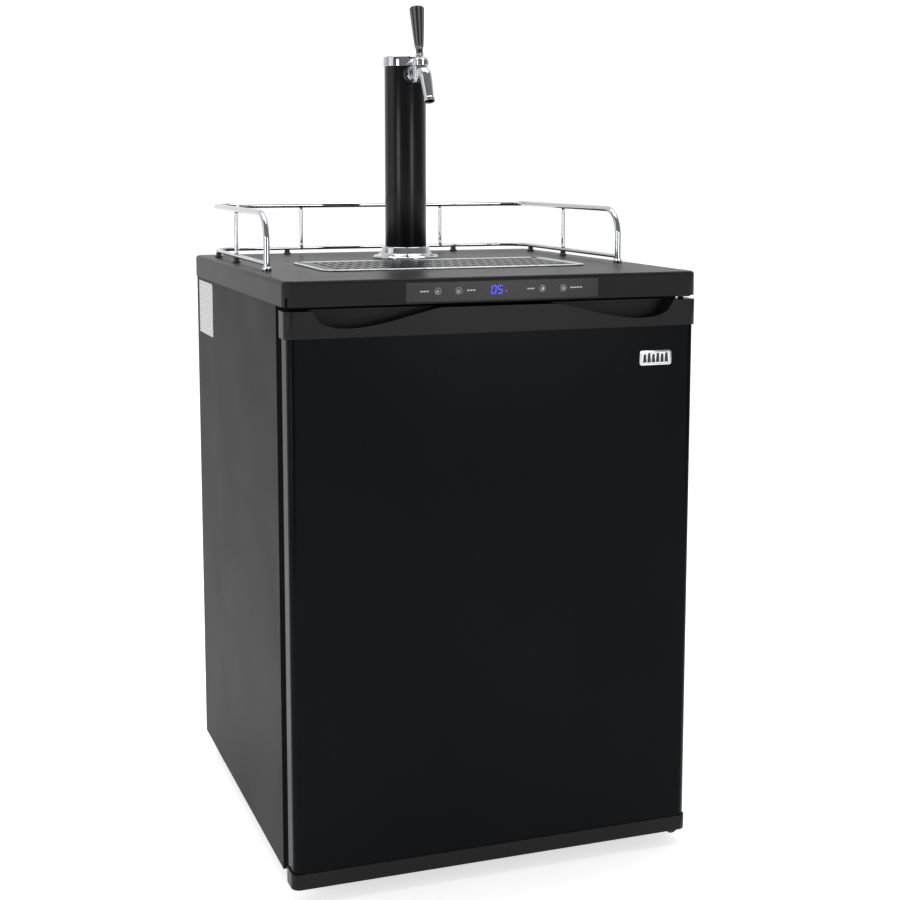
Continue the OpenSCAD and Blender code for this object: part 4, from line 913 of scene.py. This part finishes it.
def badge():
    """Plain plate with a raised border and a row of abstract peaks."""
    low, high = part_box("badge_plate")
    wide, tall = (high.x - low.x) / MM, (high.z - low.z) / MM
    face = facing_door(low.x, high.y, low.z)

    def border(inset, radius):
        right, top = wide - inset, tall - inset
        return rounded(mm([(inset, inset), (right, inset), (right, top), (inset, top)]), radius * MM, 5,
                       closed=True)

    plate = Shape().prism(border(0, 3.5), 1.3 * MM, face, "badge_metal", 0.3 * MM)
    plate.prism(border(1.6, 2.4), 1.42 * MM, face, "dark_mark", 0.05 * MM, 1)
    plate.prism(border(2.1, 2.0), 1.5 * MM, face, "badge_metal", 0.05 * MM, 1)
    peaks, margin = 6, 4.5
    pitch = (wide - 2 * margin) / peaks
    for i in range(peaks):
        x = margin + pitch * i
        top = tall - (3.6 if i % 2 else 5.2)
        peak = mm([(x + 0.4, 4), (x + pitch - 0.6, 4), (x + pitch - 1.6, top), (x + 1.5, top)])
        plate.prism(peak, 1.62 * MM, face, "dark_mark", 0.1 * MM, 1)
    plate.make("badge_emblem", "door", "badge_metal", ["badge_plate"])


def rating_label():
    """Blank label near the top of the left side."""
    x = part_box("cabinet_shell")[0].x
    corners = rounded(mm([(182, 732), (294, 732), (294, 818), (182, 818)]), 2 * MM, 4, closed=True)
    facing_left = Matrix(((0, 0, -1, x), (1, 0, 0, 0), (0, 1, 0, 0), (0, 0, 0, 1)))
    label = Shape().prism(corners, 0.2 * MM, facing_left, "label_paper")
    label.make("rating_label", "cabinet")


# ---- Drip tray ----

def drip_tray():
    """Pressed tray: rolled rim on the worktop, ledge for the grille and a basin with round corners."""
    low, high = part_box("drip_tray")
    bottom, rim = low.z / MM, high.z / MM
    top = TOP / MM
    lip = (rim - top) / 2
    edge, wall, corner, inner_corner, least_corner = 7, 1.2, 22, 9, 3
    # Pairs of inset from the rim's edge and height, first up the outside and then down the inside
    outside = [(edge + 8, bottom + 0.2), (edge + 2, bottom + 1), (edge, bottom + 3), (edge, top + 0.3),
               (1.5, top + 0.3)]
    turns = [math.radians(a) for a in range(0, 181, 20)]
    outside += [(lip * (1 - math.sin(a)), top + lip * (1 - math.cos(a))) for a in turns]
    outside.append((4.5, rim))
    inside = [(edge - 0.8, rim - 0.3), (edge + wall, rim - 1.6), (edge + wall, top + 0.2),
              (edge + 6, top + 0.1),
              (edge + 6.2, bottom + 5), (edge + 8, bottom + 2.2), (edge + 14, bottom + 1.2)]
    rings = []
    for most, profile in ((corner, outside), (inner_corner, inside)):
        for inset, z in profile:
            radius = max(least_corner, min(corner - inset, most)) * MM
            gap = inset * MM
            sides = (low.x + gap, low.y + gap, high.x - gap, high.y - gap)
            rings.append(round_outline(*sides, radius, z * MM, 10))
    Shape().loft(rings, "stainless").make("drip_tray_pressed", "tray", "stainless", ["drip_tray"], 40)


# ---- Gas supply ----

def hose_clamp(shape, place, hose_r, turn):
    """Steel band around a hose, with its worm screw. The hose runs along the place's Z."""
    band_r, width = hose_r + 0.7 * MM, 7 * MM
    band = [(hose_r, 0), (band_r, 0), (band_r, width), (hose_r, width)]
    shape.lathe(band, place, "stainless", 40, ring=True)
    turned = place @ Matrix.Rotation(math.radians(turn), 4, "Z")
    top = hose_r + 0.6 * MM
    low, high = (-4 * MM, top, 0.6 * MM), (4 * MM, top + 4.4 * MM, 6.4 * MM)
    shape.block(low, high, 0.8 * MM, "stainless", 2, turned)
    screw = turned @ Matrix.Translation((0, top + 2.2 * MM, width / 2)) @ Matrix.Rotation(math.pi / 2, 4, "Y")
    shape.lathe(mm([(0, 4), (2.6, 4), (3, 4.5), (3, 7), (2.6, 7.4), (0, 7.4)]), screw, "stainless", 24, hexed)


def gas_cylinder():
    """Tank with round shoulders, a short neck and a blank band."""
    low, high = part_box("co2_cylinder")
    center = middle("co2_cylinder")
    at = upright(center.x, center.y)
    radius, shoulder, bend = (high.x - low.x) / 2, 45 * MM, 6 * MM
    neck = high.z - 8 * MM
    profile = [(0, low.z)] + arc((radius - bend, low.z + bend), bend, -90, 0, 6)
    profile += arc((radius - shoulder, neck - shoulder), shoulder, 0, 90, 20)
    profile += [(17.5 * MM, neck + 0.4 * MM), (17 * MM, neck + 1 * MM), (17 * MM, high.z - 1 * MM),
                (16 * MM, high.z),
                (0, high.z)]
    tank = Shape().lathe(profile, at, "cylinder_aluminium", 128)
    inner, outer = radius / MM - 0.1, radius / MM + 0.25
    band = mm([(inner, 330), (outer, 330.2), (outer, 389.8), (inner, 390)])
    tank.lathe(band, at, "label_paper", 128, ring=True)
    tank.make("gas_cylinder_tank", "cabinet", "cylinder_aluminium", ["co2_cylinder"])


def cylinder_valve():
    """Brass valve with its outlet towards the door, and the lobed knob on top."""
    center = middle("co2_cylinder")
    at = upright(center.x, center.y)
    outlet_z = middle("regulator_screw").z
    valve = Shape()
    body = [(0, 478), (13, 478), (13, 488), (11, 490), (10.5, 507), (9, 511), (4.5, 512), (4, 514), (4, 529),
            (0, 529)]
    valve.lathe(rounded(mm(body), 0.6 * MM, 3), at, "brass", 64)
    hexagon = mm([(0, 477.9), (14.5, 477.9), (15, 478.6), (15, 485), (14.3, 486), (0, 486)])
    valve.lathe(hexagon, at, "brass", 48, hexed)
    outlet = along((center.x, center.y, outlet_z), -Y_AXIS)
    valve.lathe(rounded(mm([(0, 0), (9, 0), (9, 44), (0, 44)]), 0.6 * MM, 3), outlet, "brass", 48)
    relief = along((center.x, center.y, outlet_z), X_AXIS)
    valve.lathe(mm([(0, 0), (6, 0), (6, 15), (5.4, 16), (0, 16)]), relief, "brass", 36, hexed)
    valve.make("cylinder_valve_brass", "cabinet", "brass", ["co2_valve"])

    def lobes(angle, radius, height):
        return radius - 2.6 * MM * (0.5 + 0.5 * math.cos(8 * angle)) ** 2 if radius > 15 * MM else radius

    low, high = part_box("valve_knob")
    tall = (high.z - low.z) / MM
    profile = mm([(4.1, 0), (18, 0), (22, 3), (22, tall - 3), (19, tall), (12, tall), (11, tall - 1.5),
                  (4.1, tall - 1.5)])
    profile = rounded(profile, 1.2 * MM, 4, closed=True)
    on_spindle = upright(center.x, center.y, low.z)
    knob = Shape().lathe(profile, on_spindle, "black_plastic", 128, lobes, ring=True)
    knob.make("valve_knob_lobed", "valve_knob", "black_plastic", ["valve_knob"])


def gauge(shape, center, share, marks):
    """Round gauge that faces the door, its needle at a share of the scale."""
    at = along(center, -Y_AXIS)
    case = mm([(0, -8), (17, -8), (19.2, -6.5), (20, -4), (20, 7), (19.4, 8), (18, 8), (17.4, 7),
               (17.4, 4.6), (0, 4.6)])
    shape.lathe(rounded(case, 0.5 * MM, 3), at, "chrome", 72)
    shape.lathe(mm([(0, 4.5), (17.3, 4.5), (17.3, 4.9), (0, 4.9)]), at, "dial_face", 64)
    shape.lathe(mm([(0, 6.3), (17.4, 6.3), (17.4, 6.9), (0, 6.9)]), at, "clear_glass", 64)

    def turned(part):
        """The dial's matrix, turned to a share of the scale."""
        return at @ Matrix.Rotation(math.radians(225 - 270 * part), 4, "Z")

    for i in range(marks + 1):
        start, half = (12.2 if i % 5 == 0 else 13.6) * MM, 0.22 * MM
        paint = "needle_red" if i > 0.8 * marks else "dark_mark"
        low, high = (start, -half, 4.85 * MM), (15.6 * MM, half, 5 * MM)
        shape.block(low, high, 0.03 * MM, paint, 1, turned(i / marks))
    needle = turned(share) @ Matrix.Translation((0, 0, 5.3 * MM))
    shape.prism(mm([(-4, -0.7), (13, -0.15), (13, 0.15), (-4, 0.7)]), 0.3 * MM, needle, "dark_mark")
    shape.lathe(mm([(0, 4.8), (1.8, 4.8), (1.8, 5.8), (1.2, 6.1), (0, 6.1)]), at, "dark_mark", 24)


def regulator():
    """Brass body with bonnet, inlet nut, two gauges and the barb of the gas line, and the adjusting screw."""
    center = middle("regulator_screw")
    x, z, gauge_y = center.x, center.z, 33 * MM
    axis = along((x, 0, z), Y_AXIS)
    made = Shape()
    body = mm([(0, 8), (12, 8), (14, 10), (14, 17), (19, 18), (22, 21), (22, 46), (18, 50), (8, 50), (8, 54),
               (0, 54)])
    made.lathe(rounded(body, 1 * MM, 4), axis, "brass", 96)
    made.lathe(mm([(0, 54), (14, 54), (15, 55), (15, 71), (14, 72), (0, 72)]), axis, "brass", 60, hexed)
    for offset, share, marks in ((46 * MM * Z_AXIS, 0.62, 20), (46 * MM * X_AXIS, 0.22, 15)):
        gauge(made, Vector((x, gauge_y, z)) + offset, share, marks)
        stem = mm([(0, 19), (6, 19), (6, 24), (4, 24.6), (4, 27.5), (0, 27.5)])
        made.lathe(stem, along((x, gauge_y, z), offset), "brass", 36, hexed)
    barb = mm([(0, 19), (8, 19), (8.4, 20), (8.4, 33), (7.6, 34), (4.4, 34), (5, 36), (4.4, 38), (5, 40),
               (4.4, 43),
               (0, 45)])
    made.lathe(barb, along((x, 30 * MM, z), -Z_AXIS), "brass", 48)
    made.make("regulator_brass", "cabinet", "brass", ["co2_regulator"])

    def knurled(angle, radius, height):
        return radius - 0.7 * MM * (0.5 + 0.5 * math.cos(20 * angle)) if radius > 8 * MM else radius

    profile = mm([(0, -10), (7.5, -10), (9, -8.5), (9, 4.5), (8, 6), (4, 6), (4, 22), (0, 22)])
    screw = Shape().lathe(rounded(profile, 0.6 * MM, 3), axis, "black_plastic", 160, knurled)
    screw.make("regulator_screw_knob", "regulator_screw", "black_plastic", ["regulator_screw"])


# Routes of the two hoses in millimetres, given here and the same as in the CAD source
BEER_ROUTE = [
    (0, 95, 1119), (0, 97, 1080), (0, 100, 1000), (0, 100, 900), (0, 100, 825), (-4, 106, 790),
    (-20, 130, 760),
    (-58, 180, 744), (-105, 206, 739), (-155, 210, 737), (-194, 203, 728), (-209, 193, 712), (-212, 190, 696),
    (-212, 190, 686), (-212, 190, 676.3),
]
GAS_ROUTE = [
    (187.5, 30, 452), (188.5, 29, 425), (200, 20, 397), (225, 5, 387), (243, -8, 405), (249, -10, 445),
    (249, -10, 520),
    (249, -10, 620), (249, -10, 715), (246, -8, 755), (228, 0, 777), (190, 12, 782), (100, 30, 782),
    (0, 45, 782),
    (-100, 55, 782), (-185, 60, 782), (-226, 62, 774), (-246, 66, 750), (-250, 70, 715), (-250, 75, 665),
    (-249, 85, 628), (-240, 108, 607), (-224, 126, 600), (-212, 142, 600), (-212, 151, 600), (-212, 160, 600),
]


def lines():
    """Beer line, which gives way to the probe at its end, and gas line, with their clamps."""
    beer = Shape().tube(smooth(BEER_ROUTE, 8), 5 * MM, "hose_clear", 28)
    end_x, end_y = BEER_ROUTE[-1][0] * MM, BEER_ROUTE[-1][1] * MM
    hose_clamp(beer, upright(end_x, end_y, 0.6775), 5.05 * MM, 200)
    piece = beer.make("beer_hose", None, "hose_clear", ["beer_line"])
    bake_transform(piece)
    gas = Shape().tube(smooth(GAS_ROUTE, 8), 6 * MM, "hose_red", 28)
    hose_clamp(gas, upright(0.1875, 0.030, 0.4415), 6.05 * MM, 150)
    hose_clamp(gas, along((-0.212, 0.151, 0.600), Y_AXIS), 6.05 * MM, 180)
    gas.make("gas_hose", "cabinet", "hose_red", ["gas_line"])


COUPLER_HINGE_Z = 0.625


def keg_coupler():
    """Plated coupler body with its skirt, hinge pins and gas inlet."""
    center = middle("coupler_probe")
    x, y = center.x, center.y
    low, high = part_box("keg_coupler")
    tall = (high.z - low.z) / MM
    loop = mm([(19.5, 0), (26, 0), (26, 15), (22, 19), (19, 21), (19, tall - 3), (17, tall), (9.2, tall),
               (9.2, 14),
               (19.5, 14)])
    bends = [b * MM for b in (0.4, 1, 2, 2, 1.5, 1, 1, 0.4, 0.4, 0.4)]
    body = Shape().lathe(rounded(loop, bends, 4, closed=True), upright(x, y, low.z), "chrome", 96, ring=True)
    inlet = mm([(0, 160), (5, 160), (5, 163), (7.4, 163), (8, 163.8), (8, 174), (0, 174)])
    body.lathe(inlet, along((x, 0, 0.600), Y_AXIS), "chrome", 48, hexed)
    pin = rounded(mm([(0, 0), (4, 0), (4, 4.6), (5, 4.6), (5, 5.5), (0, 5.5)]), 0.3 * MM, 3)
    for side in (-1, 1):
        body.lathe(pin, along((x, y + side * 18.5 * MM, COUPLER_HINGE_Z), Y_AXIS * side), "stainless", 32)
    body.make("keg_coupler_chrome", "cabinet", "chrome", ["keg_coupler"])


def coupler_handle():
    """Forked handle with a ribbed grip between its arms, leaning up at 45 degrees at rest."""
    center = middle("coupler_probe")
    hinge = Matrix.Translation((center.x, center.y, COUPLER_HINGE_Z))
    arms = hinge @ Matrix.Rotation(math.radians(-45), 4, "Y")
    handle = Shape()
    outline = arc((0, 0), 9, 60, 300, 20) + [(14, -7)] + arc((93, 0), 7, -90, 90, 12) + [(14, 7)]
    gap, arm_t = 19.5 * MM, 3 * MM
    for start in (-gap - arm_t, gap):
        flat = Matrix(((1, 0, 0, 0), (0, 0, 1, start), (0, 1, 0, 0), (0, 0, 0, 1)))
        handle.prism(mm(outline), arm_t, arms @ flat, "black_plastic", 0.8 * MM, 2)

    def across(reach):
        """Matrix that turns +Z from one arm to the other, at a distance from the hinge."""
        return arms @ Matrix.Translation((reach * MM, 0, 0)) @ Matrix.Rotation(-math.pi / 2, 4, "X")

    def ribbed(angle, radius, height):
        wave = 0.5 + 0.5 * math.cos(height / (2.2 * MM) * math.pi)
        return radius - 0.5 * MM * wave if radius > 6 * MM else radius

    grip = [(0, -gap)] + [(6.5 * MM, -gap + 2 * gap * i / 40) for i in range(41)] + [(0, gap)]
    handle.lathe(grip, across(92), "black_plastic", 40, ribbed)
    handle.lathe([(0, -gap), (3 * MM, -gap), (3 * MM, gap), (0, gap)], across(78), "stainless", 24)
    handle.make("coupler_handle_fork", "coupler_handle", "black_plastic", ["coupler_handle"])


def coupler_probe():
    """Sliding probe with its nut and tail."""
    center = middle("coupler_probe")
    at = upright(center.x, center.y)
    probe = Shape()
    shaft = rounded(mm([(0, 588), (7.5, 588), (9, 590), (9, 659), (8, 660), (0, 660)]), 0.6 * MM, 3)
    probe.lathe(shaft, at, "stainless", 64)
    nut = mm([(0, 659.5), (12.2, 659.5), (13, 660.5), (13, 669.5), (12.2, 670.5), (0, 670.5)])
    probe.lathe(nut, at, "chrome", 60, hexed)
    probe.lathe(mm([(0, 670), (5, 670), (5, 676), (0, 676)]), at, "stainless", 40)
    probe.make("coupler_probe_shaft", "coupler_probe", "stainless", ["coupler_probe"])


# ---- Back and underside ----

def compressor():
    """Welded can with belt seam and domed top, on a plate with grommets, and its terminal cover."""
    low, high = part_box("compressor")
    y, left, right, radius = 252, 80, 180, 48
    top, pan_top = high.z / MM, low.z / MM
    # Pairs of inset from the can's wall and height
    profile = [(6, 44), (1.2, 46), (0, 52), (0, 112), (-2, 113), (-2.4, 116), (-2, 119), (0.8, 120),
               (0.8, 170)]
    turns = [math.radians(a) for a in range(0, 91, 10)]
    profile += [(1.2 + 27 * (1 - math.cos(a)), 172 + (top - 172) * math.sin(a)) for a in turns]
    rings = []
    for inset, z in profile:
        ends = arc((right, y), radius - inset, -90, 90, 24) + arc((left, y), radius - inset, 90, 270, 24)
        rings.append(mm([(px, py, z) for px, py in ends]))
    can = Shape().loft(rings, "compressor_black")
    x0, x1, y0, y1 = left - 40, right + 40, y - 44, y + 44
    plate = rounded(mm([(x0, y0), (x1, y0), (x1, y1), (x0, y1)]), 12 * MM, 5, closed=True)
    can.prism(plate, 3 * MM, Matrix.Translation((0, 0, 41 * MM)), "compressor_black", 0.6 * MM)
    grommet = mm([(0, pan_top), (9, pan_top), (9, 34), (7.5, 36), (9, 38), (9, 41), (0, 41)])
    grommet = rounded(grommet, 0.6 * MM, 3)
    nut = mm([(0, 44), (7, 44), (7, 45.2), (5, 45.2), (5, 49.5), (4, 50.2), (0, 50.2)])
    for x in (left - 30, right + 30):
        for side_y in (y - 34, y + 34):
            can.lathe(grommet, upright(x * MM, side_y * MM), "gasket_rubber", 40)
            can.lathe(nut, upright(x * MM, side_y * MM), "stainless", 36, hexed)
    cover = mm([(100, y + radius - 6, 70), (158, y + radius + 9, 108)])
    can.block(*cover, 3 * MM, "black_plastic", 3)
    can.make("compressor_can", "cabinet", "compressor_black", ["compressor"])


def condenser():
    """Serpentine tube with upright wires on both faces and four stand-offs."""
    low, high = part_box("condenser_coil")
    y, pitch, rows, first = 292 * MM, 40 * MM, 12, 330 * MM
    end_x, turn_x, tube_r = 215 * MM, 235 * MM, 2.5 * MM
    path = [(-end_x, y, first)]
    for i in range(rows - 1):
        side = turn_x if i % 2 == 0 else -turn_x
        path += [(side, y, first + i * pitch), (side, y, first + (i + 1) * pitch)]
    path.append((-end_x, y, first + (rows - 1) * pitch))
    coil = Shape().tube(rounded(path, 19.5 * MM, 10), tube_r, "condenser_black", 16)
    wires, wire_r, margin = 44, 0.75 * MM, 8 * MM
    for i in range(wires):
        x = -end_x + margin + i * 2 * (end_x - margin) / (wires - 1)
        for side in (-1, 1):
            wire_y = y + side * (tube_r + 0.55 * MM)
            coil.tube([(x, wire_y, low.z), (x, wire_y, high.z)], wire_r, "condenser_black", 8)
    stand = rounded(mm([(0, 271), (7, 271), (7, 273), (4, 275), (4, 289.4), (0, 289.4)]), 0.6 * MM, 3)
    screw = mm([(0, 294.6), (5, 294.6), (5, 296), (3, 297.4), (0, 297.6)])
    for x, z in mm([(-213, 410), (-213, 730), (213, 370), (213, 690)]):
        coil.lathe(stand, along((x, 0, z), Y_AXIS), "black_plastic", 28)
        coil.lathe(screw, along((x, 0, z), Y_AXIS), "stainless", 28)
    coil.make("condenser_tube_and_wires", "cabinet", "condenser_black", ["condenser_coil"])


def refrigerant_pipes():
    """Copper pipes between compressor, condenser and cold plate, and the filter dryer in one of them."""
    routes = (
        [(32, 252, 120), (22, 252, 120), (5, 256, 119), (-60, 272, 126), (-150, 284, 165), (-208, 290, 225),
         (-232, 292, 285), (-232, 292, 312), (-224, 292, 327), (-215, 292, 330)],
        [(95, 252, 196), (95, 252, 208), (95, 252, 218), (84, 244, 234), (52, 226, 241), (20, 216, 241),
         (8, 206, 241), (8, 198, 241), (8, 191, 241)],
        [(-215, 292, 770), (-232, 292, 768), (-243, 292, 754), (-246, 292, 700), (-246, 292, 520),
         (-246, 292, 340),
         (-246, 292, 281)],
    )
    pipes = Shape()
    for route in routes:
        pipes.tube(smooth(route, 8), 3 * MM, "copper", 20)
    dryer = mm([(0, 202), (3.4, 202), (3.4, 206), (8, 213), (8, 271), (3.4, 278), (3.4, 282), (0, 282)])
    pipes.lathe(rounded(dryer, 1.2 * MM, 4), upright(-246 * MM, 292 * MM), "copper", 48)
    pipes.make("refrigerant_pipe_run", "cabinet", "copper", ["refrigerant_pipes"])


def cord_gland():
    """Flanged sleeve in the bay's rear wall."""
    low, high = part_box("cord_gland")
    center = middle("cord_gland")
    long = (high.y - low.y) / MM
    loop = rounded(mm([(3.6, 0), (12, 0), (12, 3), (8, 4), (6.6, long), (3.6, long)]), 0.6 * MM, 3,
                   closed=True)
    gland = Shape().lathe(loop, along((center.x, low.y, center.z), Y_AXIS), "black_plastic", 48, ring=True)
    gland.make("cord_gland_moulded", "cabinet", "black_plastic", ["cord_gland"])


def case_screws():
    """Screws of the back panel and of the rear wall of the compressor bay."""
    screws = Shape()
    back, bay, screw_r = 271, 191, 3.4 * MM
    spots = []
    for x in (-288, 288):
        spots += [(x, back, z) for z in (290, 400, 520, 640, 760, 820)]
        spots += [(x, bay, z) for z in (60, 150, 240)]
    spots += [(x, back, 822) for x in (-200, -70, 70, 200)]
    for spot in mm(spots):
        pan_screw(screws, along(spot, Y_AXIS), screw_r)
    screws.make("case_screws", "cabinet", "stainless")


def levelling_feet():
    """Ribbed feet on threaded studs."""
    rib_r, stud_r, root_r, pitch = 16.9 * MM, 4 * MM, 3.6 * MM, 1.2 * MM

    def ribs(angle, radius, height):
        return radius - 0.8 * MM * (0.5 + 0.5 * math.cos(24 * angle)) if radius > rib_r else radius

    pad = mm([(0, 0), (16.5, 0), (18, 1), (18, 4.4), (17, 5.4), (10, 9), (9, 10), (4, 10)])
    pad = [tuple(p) for p in rounded(pad, 0.5 * MM, 3)]
    for side in ("left", "right"):
        node = f"levelling_foot_{side}"
        center, top = middle(node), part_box(node)[1].z
        thread, height = [], 10.5 * MM
        while height < top - 1 * MM:
            thread += [(stud_r, height), (root_r, height + pitch / 2)]
            height += pitch
        profile = pad + thread + [(3.4 * MM, top), (0, top)]
        foot = Shape().lathe(profile, upright(center.x, center.y), "black_plastic", 144, ribs)
        foot.make(f"{node}_ribbed", f"foot_{side}", "black_plastic", [node])


add_camera()
add_studio()
add_floor()
dress_cad_nodes()
guard_rail()
tower()
coupling_nut()
faucet()
tap_lever()
tap_handle()
fascia_marks()
display_digits()
for button_name in ("up", "down", "light", "power"):
    button(button_name)
badge()
rating_label()
drip_tray()
gas_cylinder()
cylinder_valve()
regulator()
lines()
keg_coupler()
coupler_handle()
coupler_probe()
compressor()
condenser()
refrigerant_pipes()
cord_gland()
case_screws()
levelling_feet()

bpy.context.scene.view_settings.view_transform = "Standard"
